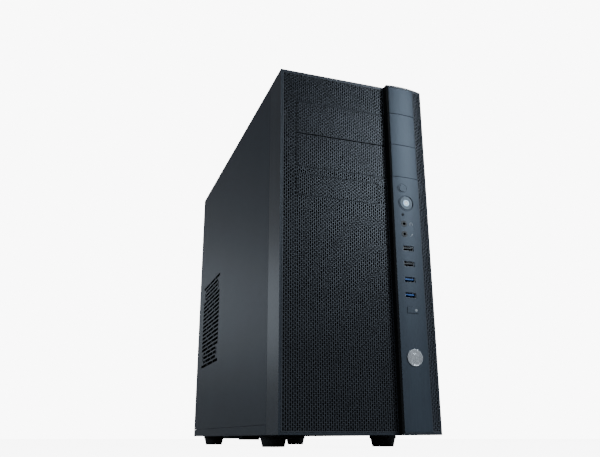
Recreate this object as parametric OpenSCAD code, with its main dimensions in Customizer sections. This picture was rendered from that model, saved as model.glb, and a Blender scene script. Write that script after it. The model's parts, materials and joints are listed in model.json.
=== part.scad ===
// Desktop computer tower: a folded steel chassis with sliding side panels, a plastic front
// bezel with two large bay covers and one small one, a control strip, fans and the electronics.
// The origin is the middle of the footprint on the floor, +Z is up and the front faces -Y.

/* [Case] */
// Width over the side panels
case_w = 190; // [188:1:230]
// Height from the floor to the top of the lid
case_h = 441; // [438:1:540]
// Depth from the front mesh to the rear edge of the side panels
case_d = 480; // [474:1:580]
// Thickness of the sheet steel
steel_t = 0.8; // [0.6:0.1:1]
// Gap between parts that lie side by side
gap = 0.3; // [0.2:0.05:0.4]
// Seam between the bezel and the steel behind it
seam_gap = 0.5; // [0.3:0.1:1]
// Width of the channel that the folds of a side panel fill
channel_w = 9; // [8.5:0.5:10]
// Height of the base flange below each side panel
flange_h = 10.5; // [9:0.5:14]
// How far the rear wall is set in from the rear flanges
rear_recess = 11.5; // [11:0.5:14]
// Width of the lip at the rear edge of each side panel
lip_w = 19; // [17:0.5:20]
// Distance from the side of the case to a thumbscrew
thumbscrew_inset = 13; // [12:0.5:14]
// Distance from the lid or the base to a thumbscrew
thumbscrew_end = 48; // [35:1:70]
// How far the thumbscrew knobs stand out
knob_proud = 8; // [6:0.5:12]

/* [Feet] */
// Height of each foot
foot_h = 13; // [10:1:20]
// Radius of a foot on the floor
foot_r = 13; // [11:0.5:15]
// Radius of a foot at the base
foot_top_r = 16.5; // [15:0.5:17]
// Distance from the side of the case to the middle of a foot
foot_inset = 24.5; // [20:0.5:26]
// Distance from the front mesh to the middle of the front feet
front_foot_in = 96; // [80:1:120]
// Distance from the rear edge to the middle of the rear feet
rear_foot_in = 50; // [30:1:60]

/* [Bezel] */
// Depth of the bezel behind the front mesh
bezel_d = 44; // [40:1:56]
// Wall thickness of the bezel
bezel_wall = 2.5; // [2:0.1:3]
// Thickness of the mesh sheets
mesh_t = 1; // [0.8:0.1:1.5]
// How far the curved nose stands in front of the mesh
nose_proud = 9; // [7:0.5:12]
// Radius of the nose seen from above
nose_r = 110; // [90:5:200]
// Distance from the right side of the case to the foremost line of the nose
nose_inset = 36; // [30:1:40]
// Width of the control strip
strip_w = 35; // [34:0.5:37]
// Thickness of the control strip
strip_t = 2.5; // [2:0.1:3]
// Width of the mesh to the right of the strip
side_mesh_w = 14; // [12:0.5:16]

/* [Bays] */
// Distance from the lid to the upper bay cover
bay_drop = 40; // [30:1:60]
// Height of one large bay with its seam
bay_pitch = 43; // [42:0.5:45]
// Width of a large bay cover with its strip segment
bay_cover_w = 156; // [152:1:158]
// Distance from the lid to the small bay cover
small_drop = 135; // [130:1:150]
// Width of the small bay cover
small_w = 104.6; // [103:0.2:107]
// Height of the small bay cover
small_h = 27; // [26:0.5:30]
// Depth of the bay covers
cover_d = 22; // [15:1:26]

/* [Controls] */
// Radius of the power button
power_r = 8; // [6:0.5:9]
// Radius of the lens in the power button
lens_r = 4; // [3:0.5:5]
// Travel of the power button
power_travel = 2; // [1:0.5:3]
// Radius of the reset button
reset_r = 4.3; // [3:0.1:5]
// Width of the fan speed button
fan_button_w = 13.6; // [12:0.2:15]
// Height of the fan speed button
fan_button_h = 7.2; // [6:0.2:8]
// Travel of the reset and fan speed buttons
small_travel = 1.5; // [1:0.5:2.5]
// Clearance around each button
button_gap = 0.25; // [0.15:0.05:0.4]
// Radius of the badge
badge_r = 9.6; // [7:0.2:12]
// Thickness of the badge in front of the strip
badge_t = 1; // [0.5:0.1:2]
// Radius of a headphone socket's bore
jack_r = 1.78; // [1.75:0.01:1.85]

/* [Fans] */
// Width of the front fan
front_fan_w = 120; // [110:1:120]
// Width of the rear fan and the processor fan
rear_fan_w = 92; // [80:1:92]
// Depth of a fan
fan_d = 25; // [20:1:25]
// Clearance between the blades and the frame
blade_gap = 1; // [0.8:0.1:1.5]
// Number of blades on each fan
blade_count = 7; // [5:1:9]

/* [Side vent] */
// Width of the vent in the left panel
vent_w = 126; // [116:1:130]
// Pitch of the vent's rows of slots
vent_pitch = 6.7; // [6:0.1:8]
// Number of rows of slots
vent_rows = 21; // [15:1:23]
// Height of each slot
vent_slot_h = 4.4; // [3:0.1:5]
// Distance between the screw slots for a fan
vent_screws = 105; // [82.5:0.5:105]

/* [Electronics] */
// Height of the mainboard
board_h = 305; // [290:1:305]
// Depth of the mainboard
board_d = 244; // [220:1:244]
// Width of the power supply
psu_w = 150; // [140:1:150]
// Height of the power supply
psu_h = 86; // [80:1:86]
// Depth of the power supply
psu_d = 140; // [125:1:160]
// Pitch of the expansion slots
slot_pitch = 20.32; // [20:0.01:20.5]
// Number of drive trays
tray_count = 5; // [3:1:5]

/* [Hidden] */
$fn = 48;

STEEL = "#3b424a";
DARK = "#202327";
BLACK = "#15161a";
STRIP = "#5b6570";
ZINC = "#a9adb0";
BOARD = "#1e2a33";

// Overlap that cuts and joined bodies run past their faces
eps = 1;

// Main planes
half_w = case_w / 2;
y_mesh = (nose_proud + badge_t - knob_proud - case_d) / 2;
y_end = y_mesh + case_d;
y_seam = y_mesh + bezel_d;
y_frame = y_seam + seam_gap;
y_back = y_end - steel_t - gap;
y_wall = y_back - rear_recess;
z_floor = foot_h + steel_t;
z_sill = foot_h + flange_h;
z_lid = case_h - steel_t;
core = half_w - channel_w;

// Nose, strip and bays
nose_x = half_w - nose_inset;
nose_y = y_mesh - nose_proud + nose_r;
strip_x = [half_w - side_mesh_w - strip_w, half_w - side_mesh_w];
nose_wall = [strip_x[0] - bezel_wall - gap, strip_x[0] - gap];
bezel_z = [foot_h + bezel_wall, case_h - bezel_wall];
bays_z = [case_h - bay_drop - 2 * bay_pitch, case_h - bay_drop];
bays_x = [strip_x[1] - bay_cover_w, strip_x[1]];
small_x = [bays_x[0], bays_x[0] + small_w];
small_z = [case_h - small_drop - small_h, case_h - small_drop];
cover_wall = 1.5;
drive_w = 146;
cage_x = [(bays_x[0] + bays_x[1] - drive_w) / 2 - gap, (bays_x[0] + bays_x[1] + drive_w) / 2 + gap];

// Controls on the strip: distance in from the right side, and down from the lid
control_x = half_w - 33;
jack_x = half_w - 37;
power_z = case_h - 160;
reset_z = case_h - 141;
light_z = case_h - 175;
light_x = half_w - 38;
light_r = 1.7;
jack_z = [case_h - 186.5, case_h - 199.5];
usb_z = [case_h - 217, case_h - 236, case_h - 255, case_h - 273.5];
usb_w = 13.1;
usb_h = 5.7;
usb_wall = 0.4;
usb_d = 13.4;
fan_button_z = case_h - 291;
badge_z = case_h - 345;
badge_seat = 0.5;
io_board_y = y_mesh + 5.6;
io_board_x = [strip_x[0] + 2.5, strip_x[1] - 1];
io_board_z = [fan_button_z - 12, reset_z + 12];
pcb_t = 1.6;

// Mainboard, slots and rear wall
standoff_h = 6.35;
board_x = core - steel_t - standoff_h - pcb_t;
board_top = z_lid - 16.2;
board_z = [board_top - board_h, board_top];
board_y = [y_wall - 1.5 - board_d, y_wall - 1.5];
slot_count = 7;
card_slot = 1;
bracket_t = 0.9;
bracket_x = [board_x - 119, board_x];
slot_half = 6.75;
io_h = 158.75;
io_w = 44.45;
io_z = [board_top - 5 - io_h, board_top - 5];
io_x = [board_x + 2.8 - io_w, board_x + 2.8];
cpu_y = board_y[1] - 100;
cpu_z = board_top - 76;
rear_fan_x = -core + 6 + rear_fan_w / 2;
rear_fan_z = board_top - 28 - rear_fan_w / 2;
front_fan_x = -core + 1 + front_fan_w / 2;
front_fan_z = foot_h + 97;
psu_z = [z_floor + 3.2, z_floor + 3.2 + psu_h];
psu_y = [y_wall - psu_d, y_wall];
psu_fan_r = 56;
psu_fan_y = (psu_y[0] + psu_y[1]) / 2;
psu_wall = 1;
inlet_x = psu_w / 2 - 27;
inlet_z = psu_z[0] + 57;
switch_z = psu_z[0] + 25;
switch_r = 9.4;
switch_y = y_wall - 6;
switch_tilt = 8;
vent_y = y_end - 103.5;
vent_z = foot_h + 178.5;
graphics_l = 220;
shroud_h = 32;

// Drive cage and trays
cage_y = [y_frame + 8, y_frame + 8 + 108.2];
cage_half = 76;
tray_pitch = 42;
tray_z = z_floor + 14;
tray_h = 30;
cage_top = tray_z + tray_count * tray_pitch;

// Screws and holes
screw_r = 1.75;
screw_clear = 0.1;
screw_head_r = 3.4;
screw_head_h = 2.2;
fan_screw_r = 2;
board_hole_y = [20, 141, 237.5];
board_hole_z = [10.2, 165.1, 287];

// Dust filter and the rails that it slides on
filter_half = 48;
filter_t = 2.4;
filter_rail_h = filter_t + 2 * gap + steel_t;

// Bezel catches, bezel front and the front panel lead's height
catch_z = [foot_h + 32, case_h - 200, case_h - 16];
nose_front = y_mesh - nose_proud;
lead_z = case_h - 236;

// Drive trays and the drive in the second one
tray_y = [cage_y[0] + steel_t + gap, cage_y[1] - steel_t - gap];
tray_wall = 2;

// Rear connectors: middle heights from the top down, half heights, widths and depth
stack_z = [io_z[1] - 12, io_z[1] - 34, io_z[1] - 56, io_z[1] - 78, io_z[1] - 100];
stack_half = [7, 9.5, 7, 8.2, 6.6];
stack_x = [16, 12, 16, 14, 34];
stack_y = [y_wall - 16, y_wall + steel_t + 0.8];
sound_pitch = 11;
sound_half = 5.4;

// Processor cooler and graphics card
fin_mid_x = board_x - 7.2 - 76;
card_z = slot_z(card_slot);
card_y = [board_y[1] - graphics_l, board_y[1] - 1];
shroud_z = [card_z - pcb_t / 2 - shroud_h, card_z - pcb_t / 2];
shroud_x = [bracket_x[0] + 8, board_x - 16];
gpu_fan = [(shroud_x[0] + shroud_x[1]) / 2, card_y[0] + 75, shroud_z[0]];
gpu_fan_r = 40;

// Routes of the two leads
power_plug_z = board_top - 205;
panel_plug_y = board_y[0] + 60;
power_start = [board_x - 27.25, psu_y[0], psu_z[0] + 50];
power_plug = [board_x - 34, board_y[0] + 8, power_plug_z];
power_route = [
    power_start, power_start + [0, -18, 0], power_start + [2, -36, 5], power_start + [8, -54, 24],
    power_start + [13, -78, 64], [board_x - 16, board_y[0] - 7, power_start[2] + 100],
    [board_x - 24, board_y[0] - 12, power_plug_z - 24], power_plug + [-14, 0, -6], power_plug];
panel_start = [core - 12, io_board_y + pcb_t + 20, lead_z];
plug_half = 6;
panel_plug = [board_x - 24, panel_plug_y, board_z[0] + 6];
panel_route = [
    panel_start, panel_start + [0, 8, 0], [core - 9, y_frame - gap, lead_z - 1],
    [core - 5.5, y_frame + 9 - gap, lead_z - 4], [core - 5.5, y_frame + 41 - gap, lead_z - 34],
    [core - 5.5, y_frame + 73 - gap, lead_z - 68],
    [core - 5.5, cage_y[1] + 10, board_z[0] - 12], [core - 8, board_y[0] - 12, board_z[0] - 14],
    [board_x - 14, board_y[0] + 16, board_z[0] - 12], [board_x - 28, panel_plug_y - 26, board_z[0] - 5],
    panel_plug + [-10, -4, 0], panel_plug];

// Height of the side panels, and depth of the switch's rocker
panel_z = [z_sill + gap, z_lid - gap];
switch_deep = 3;

// ---------------------------------------------------------------- shapes used throughout

module block(x, y, z) {
    translate([x[0], y[0], z[0]])
        cube([x[1] - x[0], y[1] - y[0], z[1] - z[0]]);
}

// Round bars that start at a point and run along one axis
module bar_x(at, l, r) {
    translate(at)
        rotate([0, 90, 0])
            cylinder(h = l, r = r);
}

module bar_y(at, l, r) {
    translate(at)
        rotate([-90, 0, 0])
            cylinder(h = l, r = r);
}

module bar_z(at, l, r) {
    translate(at)
        cylinder(h = l, r = r);
}

module both_sides() {
    children();
    mirror([1, 0, 0])
        children();
}

// Solid behind the nose's curved face, from depth d behind it back to y_to
module nose_solid(x, z, d, y_to) {
    intersection() {
        bar_z([nose_x, nose_y, z[0]], z[1] - z[0], nose_r - d);
        block(x, [y_mesh - nose_proud - eps, y_to], z);
    }
}

// Curved plate between two depths behind the nose's face
module nose_shell(x, z, d) {
    difference() {
        nose_solid(x, z, d[0], y_mesh + nose_proud);
        bar_z([nose_x, nose_y, z[0] - eps], z[1] - z[0] + 2 * eps, nose_r - d[1]);
    }
}

// A screw along +Y, its head's underside at a point
module screw_y(at, r, l) {
    difference() {
        union() {
            bar_y([at[0], at[1] - l, at[2]], l + screw_head_h / 2, r);
            bar_y(at, screw_head_h, screw_head_r);
        }
        block([at[0] - 2, at[0] + 2], [at[1] + 1, at[1] + 1 + screw_head_h], [at[2] - 0.4, at[2] + 0.4]);
        block([at[0] - 0.4, at[0] + 0.4], [at[1] + 1, at[1] + 1 + screw_head_h], [at[2] - 2, at[2] + 2]);
    }
}

function slot_z(i) = board_top - 178 - i * slot_pitch;
function thumb_z(upper) = upper ? case_h - thumbscrew_end : z_sill + thumbscrew_end;
function fan_corner(w) = w > 100 ? 52.5 : w / 2 - 4.75;
function psu_screws() = [[-psu_w / 2 + 6, psu_z[0] + 16], [-psu_w / 2 + 6, psu_z[1] - 6],
                         [psu_w / 2 - 6, psu_z[0] + 6], [psu_w / 2 - 36, psu_z[1] - 6]];
function foot_places() = [for (y = [y_mesh + front_foot_in, y_end - rear_foot_in])
                          for (s = [-1, 1]) [s * (half_w - foot_inset), y]];

// ---------------------------------------------------------------- chassis

module base_pan() {
    color(STEEL)
    difference() {
        union() {
            block([-half_w, half_w], [y_frame, y_back], [foot_h, z_floor]);
            both_sides() {
                block([half_w - steel_t, half_w], [y_frame, y_back], [foot_h, z_sill]);
                block([core, half_w], [y_frame, y_back], [z_sill - steel_t, z_sill]);
                block([core - steel_t, core], [y_frame + steel_t + gap, y_wall - gap],
                      [z_sill - steel_t, z_sill + 6.5]);
                // Rail that guides the dust filter
                block([filter_half + gap, filter_half + gap + steel_t], [psu_y[0], y_wall],
                      [foot_h - filter_rail_h, foot_h + steel_t / 2]);
                block([filter_half - 2, filter_half + gap + steel_t], [psu_y[0], y_wall],
                      [foot_h - filter_rail_h, foot_h - filter_rail_h + steel_t]);
                // Embossed seat under the power supply
                block([psu_w / 2 - 12, psu_w / 2 - 4], [psu_y[0] + 6, psu_y[1] - 6],
                      [z_floor - eps / 2, psu_z[0]]);
            }
        }
        // Slots under the power supply's fan
        for (row = [0 : 12])
            for (col = [-1 : 1])
                block([col * 31 - 13.5, col * 31 + 13.5],
                      [psu_fan_y - 54 + row * 8.4, psu_fan_y - 49.5 + row * 8.4],
                      [foot_h - eps, z_floor + eps]);
    }
}

module psu_dust_filter() {
    filter_y = [psu_y[0] + 2, y_wall + 6];
    filter_z = [foot_h - gap - filter_t, foot_h - gap];
    color(BLACK) {
        difference() {
            block([-filter_half, filter_half], filter_y, filter_z);
            for (cx = [-1, 0, 1])
                for (cy = [0 : 3])
                    block([cx * 30 - 14, cx * 30 + 14],
                          [filter_y[0] + 5 + cy * 32, filter_y[0] + 35 + cy * 32],
                          [filter_z[0] - eps, filter_z[1] + eps]);
        }
        block([-filter_half + 3, filter_half - 3], [filter_y[0] + 3, filter_y[1] - 7],
              [filter_z[0] + 0.9, filter_z[0] + 1.4]);
        block([-18, 18], [filter_y[1] - 3, filter_y[1]], [filter_z[0] - 3, filter_z[1]]);
    }
}

module rear_panel() {
    through = [y_wall - eps, y_wall + steel_t + eps];
    fan_off = fan_corner(rear_fan_w);
    color(STEEL)
    difference() {
        union() {
            block([-core, core], [y_wall, y_wall + steel_t], [z_floor, z_lid]);
            both_sides() {
                block([core - steel_t, core], [y_wall, y_back], [z_sill + gap, z_lid]);
                block([core - 12, core], [y_back - steel_t, y_back], [z_sill + gap, z_lid]);
            }
            // Ledge that the slot covers are screwed to
            block([bracket_x[0] + bracket_t, bracket_x[0] + bracket_t + steel_t], [y_wall, y_back],
                  [slot_z(slot_count - 1) - 10, slot_z(0) + 10]);
        }
        both_sides()
            for (upper = [true, false])
                bar_y([half_w - thumbscrew_inset, y_back - steel_t - eps, thumb_z(upper)],
                      steel_t + 2 * eps,
                      screw_r + screw_clear);
        // Power supply window
        difference() {
            block([-psu_w / 2 + 3, psu_w / 2 - 3], through, [psu_z[0] + 3, psu_z[1] - 3]);
            for (s = psu_screws())
                bar_y([s[0], y_wall - eps, s[1]], steel_t + 2 * eps, 7);
        }
        for (s = psu_screws())
            bar_y([s[0], y_wall - eps, s[1]], steel_t + 2 * eps, screw_r + screw_clear);
        // Connector window
        block(io_x, through, io_z);
        // Expansion slots
        for (i = [0 : slot_count - 1]) {
            block([bracket_x[0] - gap, bracket_x[0] + bracket_t], through,
                  [slot_z(i) - slot_half, slot_z(i) + slot_half]);
            block([bracket_x[0] + bracket_t + steel_t, bracket_x[1] - 10], through,
                  [slot_z(i) - slot_half, slot_z(i) + slot_half]);
            bar_x([bracket_x[0] + bracket_t - eps, y_wall + 6.3, slot_z(i)], steel_t + 2 * eps,
                  screw_r + screw_clear);
        }
        // Fan grille: rings of slots, bridged by a cross
        difference() {
            for (ring = [1 : 5])
                difference() {
                    bar_y([rear_fan_x, y_wall - eps, rear_fan_z], steel_t + 2 * eps, 8 * ring + 3.2);
                    bar_y([rear_fan_x, y_wall - 2 * eps, rear_fan_z], steel_t + 4 * eps, 8 * ring - 2.4);
                }
            for (turn = [45, 135])
                translate([rear_fan_x, y_wall, rear_fan_z])
                    rotate([0, turn, 0])
                        cube([rear_fan_w, 4 * steel_t + 4, 4.5], center = true);
        }
        for (sx = [-1, 1])
            for (sz = [-1, 1])
                bar_y([rear_fan_x + sx * fan_off, through[0], rear_fan_z + sz * fan_off],
                      steel_t + 2 * eps, fan_screw_r + screw_clear);
    }
}

module top_panel() {
    color(STEEL) {
        block([-half_w, half_w], [y_frame, y_back], [z_lid, case_h]);
        both_sides()
            block([core - 2 * steel_t, core - steel_t], [y_frame + 17, y_wall - 2],
                  [z_lid - 14, z_lid + steel_t / 2]);
    }
}

module front_frame() {
    sheet = [y_frame, y_frame + steel_t];
    cut = [y_frame - eps, y_frame + steel_t + eps];
    fan_off = fan_corner(front_fan_w);
    color(STEEL) {
        difference() {
            block([-core, core], sheet, [z_floor, z_lid]);
            // Large and small bay windows
            block(cage_x, cut, [bays_z[0] + 1, bays_z[1] + 1]);
            block([small_x[0] + 1, small_x[1] - 1], cut, [small_z[0] - 1, small_z[1] + 1]);
            // Fan opening and its screw holes
            bar_y([front_fan_x, cut[0], front_fan_z], steel_t + 2 * eps, front_fan_w / 2 - 4);
            for (sx = [-1, 1])
                for (sz = [-1, 1])
                    bar_y([front_fan_x + sx * fan_off, cut[0], front_fan_z + sz * fan_off],
                          steel_t + 2 * eps, fan_screw_r + screw_clear);
            // Passage for the front panel lead
            block([core - 36, core - 4], cut, [lead_z - 18, lead_z + 18]);
            // Holes for the bezel's catches
            both_sides()
                for (z = catch_z)
                    block([core - 7 - gap, core - 3 + gap], cut, [z - 4 - gap, z + 4 + gap]);
        }
        both_sides()
            block([core - 2 * steel_t, core - steel_t], [y_frame, y_frame + 15], [z_sill + 8, z_lid - 16]);
        block([-core + 4, core - 4], [y_frame, y_frame + 12], [z_lid - steel_t, z_lid]);
    }
}

module motherboard_tray() {
    color(STEEL)
    difference() {
        block([core - steel_t, core], [y_frame + steel_t, y_wall], [z_sill + 7, z_lid]);
        // Opening behind the processor
        block([core - steel_t - eps, core + eps], [cpu_y - 55, cpu_y + 50], [cpu_z - 55, cpu_z + 48]);
        // Passages for cables
        for (z = [board_z[0] + 20, board_z[0] + 110, board_z[0] + 200])
            block([core - steel_t - eps, core + eps], [board_y[0] - 36, board_y[0] - 14], [z, z + 60]);
        block([core - steel_t - eps, core + eps], [psu_y[0] - 60, psu_y[0] - 10],
              [z_sill + 20, z_sill + 70]);
        for (y = board_hole_y)
            for (z = board_hole_z)
                bar_x([core - steel_t - eps, board_y[1] - y, board_top - z], steel_t + 2 * eps,
                      screw_r + screw_clear);
    }
}

module bay_cage() {
    cage_z = [bays_z[0] + 1, bays_z[1] + 1];
    back = y_frame + 150;
    front = y_frame + steel_t;
    low_x = [small_x[0] + 1, small_x[1] - 1];
    low_z = small_z[0] - 1;
    color(ZINC)
    difference() {
        union() {
            block([cage_x[0] - steel_t, cage_x[0]], [front, back], cage_z);
            block([cage_x[1], cage_x[1] + steel_t], [front, back], cage_z);
            block([cage_x[0] - steel_t, cage_x[1] + steel_t], [front, back],
                  [cage_z[0] - steel_t, cage_z[0]]);
            block([cage_x[0] - steel_t, cage_x[0] + 14], [front, back], [cage_z[1], cage_z[1] + steel_t]);
            block([cage_x[1] - 14, cage_x[1] + steel_t], [front, back], [cage_z[1], cage_z[1] + steel_t]);
            // Small bay below
            block([low_x[0] - steel_t, low_x[0]], [front, back - 20], [low_z - steel_t, cage_z[0]]);
            block([low_x[1], low_x[1] + steel_t], [front, back - 20], [low_z - steel_t, cage_z[0]]);
            block([low_x[0] - steel_t, low_x[1] + steel_t], [front, back - 20], [low_z - steel_t, low_z]);
        }
        // Screw slots in the side walls
        for (bay = [0, 1])
            for (y = [front + 30, front + 75, front + 110])
                block([cage_x[0] - 2, cage_x[1] + 2], [y, y + 12],
                      [cage_z[0] + bay * bay_pitch + 10, cage_z[0] + bay * bay_pitch + 14]);
    }
}

module drive_cage() {
    wall = [[cage_y[0], cage_y[0] + steel_t], [cage_y[1] - steel_t, cage_y[1]]];
    color(ZINC) {
        difference() {
            union() {
                for (w = wall)
                    block([-cage_half, cage_half], w, [z_floor, cage_top]);
                block([-cage_half, cage_half], cage_y, [z_floor, z_floor + steel_t]);
                block([-cage_half, cage_half], cage_y, [cage_top, cage_top + steel_t]);
            }
            // Air windows in front of and behind each tray
            for (i = [0 : tray_count - 1])
                for (side = [-1 : 1])
                    block([side * 48 - 20, side * 48 + 20], [cage_y[0] - eps, cage_y[1] + eps],
                          [tray_z + i * tray_pitch + 6, tray_z + i * tray_pitch + 32]);
        }
        // Rails under the trays
        for (i = [0 : tray_count - 1]) {
            rail = [tray_z + i * tray_pitch - steel_t - gap, tray_z + i * tray_pitch - gap];
            block([-cage_half, cage_half], [wall[0][0], wall[0][1] + 4], rail);
            block([-cage_half, cage_half], [wall[1][0] - 4, wall[1][1]], rail);
        }
    }
}

module drive_trays() {
    color(BLACK)
    for (i = [0 : tray_count - 1]) {
        z = tray_z + i * tray_pitch;
        difference() {
            block([-cage_half, cage_half - 4], tray_y, [z, z + 12]);
            block([-cage_half + 5, cage_half], [tray_y[0] + tray_wall, tray_y[1] - tray_wall],
                  [z + 2, z + 12 + eps]);
            for (cx = [-40, 0, 40])
                bar_z([cx, (tray_y[0] + tray_y[1]) / 2, z - eps], 2 + 2 * eps, 14);
        }
        // Handle at the open end
        difference() {
            block([-cage_half, -cage_half + 5], tray_y, [z, z + tray_h]);
            block([-cage_half - eps, -cage_half + 5 + eps], [tray_y[0] + 30, tray_y[1] - 30],
                  [z + 12, z + 24]);
        }
    }
}

module hard_drive() {
    z = tray_z + tray_pitch + 2;
    body_x = [-cage_half + 6, -cage_half + 145];
    mid_y = (tray_y[0] + tray_y[1]) / 2;
    body_y = [mid_y - 50.8, mid_y + 50.8];
    color(ZINC) {
        block(body_x, body_y, [z, z + 22]);
        difference() {
            block([body_x[0] + 2, body_x[1] - 2], [body_y[0] + 2, body_y[1] - 2], [z + 22 - eps, z + 26]);
            bar_z([body_x[0] + 55, mid_y, z + 25], 2, 40);
        }
        bar_z([body_x[0] + 55, mid_y, z + 24.5], 1.5, 16);
    }
}

module feet() {
    color(BLACK)
    for (p = foot_places())
        difference() {
            union() {
                translate([p[0], p[1], 0])
                    cylinder(h = foot_h - 3, r1 = foot_r, r2 = foot_top_r - 1);
                bar_z([p[0], p[1], foot_h - 3 - gap], 3 + gap, foot_top_r);
            }
            bar_z([p[0], p[1], -eps], foot_h - 5 + eps, 4.5);
        }
}

module slot_covers() {
    color(ZINC)
    for (i = [0 : slot_count - 1])
        if (i != card_slot && i != card_slot + 1)
            bracket(i, slot_pitch / 2 - 1, slot_pitch / 2 - 1);
}

// Slot cover or card bracket that reaches down and up from slot i
module bracket(i, down, up) {
    z = [slot_z(i) - down, slot_z(i) + up];
    difference() {
        union() {
            block(bracket_x - [0, 1.2], [y_wall - bracket_t, y_wall], z);
            block([bracket_x[0], bracket_x[0] + bracket_t], [y_wall - bracket_t, y_back - eps],
                  [slot_z(i) - slot_half + gap, slot_z(i) + slot_half - gap]);
        }
        bar_x([bracket_x[0] - eps, y_wall + 6.3, slot_z(i)], bracket_t + 2 * eps, screw_r + screw_clear);
    }
}

// ---------------------------------------------------------------- electronics

module motherboard() {
    top = board_x;
    color(BOARD) {
        difference() {
            block([board_x, board_x + pcb_t], board_y, board_z);
            for (y = board_hole_y)
                for (z = board_hole_z)
                    bar_x([board_x - eps, board_y[1] - y, board_top - z], pcb_t + 2 * eps, 1.9);
        }
        // Processor socket with the processor
        block([top - 4, top], [cpu_y - 22, cpu_y + 22], [cpu_z - 24, cpu_z + 24]);
        block([top - 7.2, top], [cpu_y - 16, cpu_y + 16], [cpu_z - 16, cpu_z + 16]);
        // Memory sockets
        for (i = [0 : 3])
            difference() {
                block([top - 7, top], [board_y[0] + 22 + i * 9.5, board_y[0] + 28 + i * 9.5],
                      [board_top - 148, board_top - 8]);
                block([top - 8, top - 3], [board_y[0] + 24 + i * 9.5, board_y[0] + 26 + i * 9.5],
                      [board_top - 145, board_top - 11]);
            }
        // Expansion slot sockets
        for (i = [1, 3, 5])
            difference() {
                block([top - 11, top], [board_y[1] - 150, board_y[1] - 58],
                      [slot_z(i) - 3.7, slot_z(i) + 3.7]);
                block([top - 12, top - 3], [board_y[1] - 148, board_y[1] - 60],
                      [slot_z(i) - 1.1, slot_z(i) + 1.1]);
            }
        // Finned coolers beside the processor and on the bridge chip
        for (i = [0 : 5])
            block([top - 20, top], [cpu_y + 30 + i * 4, cpu_y + 32 + i * 4], [cpu_z - 30, cpu_z + 55]);
        block([top - 5, top], [cpu_y + 30, cpu_y + 52], [cpu_z - 30, cpu_z + 55]);
        block([top - 12, top], [board_y[0] + 30, board_y[0] + 68], [board_z[0] + 40, board_z[0] + 80]);
        // Power header, drive ports and panel header
        block([top - 12, top], [board_y[0] + 3, board_y[0] + 13], [power_plug_z - 26, power_plug_z + 26]);
        for (i = [0 : 2])
            block([top - 9, top], [board_y[0] + 6, board_y[0] + 22],
                  [board_z[0] + 24 + i * 10, board_z[0] + 32 + i * 10]);
        block([top - 9, top], [panel_plug_y - 10, panel_plug_y + 10], [board_z[0] + 3, board_z[0] + 9]);
        // Capacitors around the socket
        for (i = [0 : 8])
            bar_x([top - 11, cpu_y - 30, cpu_z - 40 + i * 10], 11, 4);
        for (i = [0 : 5])
            bar_x([top - 11, cpu_y - 18 + i * 10, cpu_z + 36], 11, 4);
    }
}

module board_standoffs() {
    color("#b49552")
    for (y = board_hole_y)
        for (z = board_hole_z)
            difference() {
                union() {
                    translate([core - steel_t - standoff_h, board_y[1] - y, board_top - z])
                        rotate([0, 90, 0])
                            cylinder(h = standoff_h, r = 3, $fn = 6);
                    bar_x([core - steel_t - eps, board_y[1] - y, board_top - z], steel_t + 1.5, screw_r);
                }
                bar_x([core - steel_t - standoff_h - eps, board_y[1] - y, board_top - z], 6, 1.6);
            }
}

module io_shield() {
    color(ZINC)
    difference() {
        union() {
            block([io_x[0] + gap, io_x[1] - gap], [y_wall, y_wall + 0.5], [io_z[0] + gap, io_z[1] - gap]);
            block([io_x[0] - 2, io_x[1] + 2], [y_wall - 0.5, y_wall], [io_z[0] - 2, io_z[1] + 2]);
        }
        for (i = [0 : 4])
            block([board_x - stack_x[i] - gap, board_x + eps], [y_wall - eps, y_wall + eps],
                  [stack_z[i] - stack_half[i] - gap, stack_z[i] + stack_half[i] + gap]);
        // Cut back around the edge of the board
        block([board_x, io_x[1] + 3], [y_wall - 2, y_wall - 0.4], [io_z[0] - 3, io_z[1] + 3]);
    }
}

module rear_ports() {
    mouth = stack_y[1] - 12;
    color(ZINC) {
        for (i = [0, 2])
            difference() {
                block([board_x - stack_x[i], board_x], stack_y,
                      [stack_z[i] - stack_half[i], stack_z[i] + stack_half[i]]);
                for (level = [0, 1]) {
                    x = board_x - 14.6 + level * 7.4;
                    difference() {
                        block([x, x + 5], [mouth, stack_y[1] + eps], [stack_z[i] - 6.1, stack_z[i] + 6.1]);
                        block([x + 0.6, x + 2.4], [mouth - eps, mouth + 9],
                              [stack_z[i] - 5.5, stack_z[i] + 5.5]);
                    }
                }
            }
        // Display socket
        difference() {
            block([board_x - stack_x[1], board_x], stack_y,
                  [stack_z[1] - stack_half[1], stack_z[1] + stack_half[1]]);
            block([board_x - 9.4, board_x - 3.4], [mouth, stack_y[1] + eps],
                  [stack_z[1] - 7.5, stack_z[1] + 7.5]);
        }
        // Network socket
        difference() {
            block([board_x - stack_x[3], board_x], stack_y,
                  [stack_z[3] - stack_half[3], stack_z[3] + stack_half[3]]);
            block([board_x - 10.6, board_x - 3], [mouth, stack_y[1] + eps],
                  [stack_z[3] - 5.9, stack_z[3] + 5.9]);
            block([board_x - 12.4, board_x - 8], [mouth, stack_y[1] + eps],
                  [stack_z[3] - 3, stack_z[3] + 3]);
        }
        // Three sound sockets, each in its own shell
        for (x = [board_x - 6, board_x - 6 - sound_pitch, board_x - 6 - 2 * sound_pitch])
            difference() {
                block([x - sound_half, x + sound_half], stack_y,
                      [stack_z[4] - stack_half[4], stack_z[4] + stack_half[4]]);
                bar_y([x, mouth, stack_z[4]], 12 + eps, jack_r);
            }
    }
}

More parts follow.
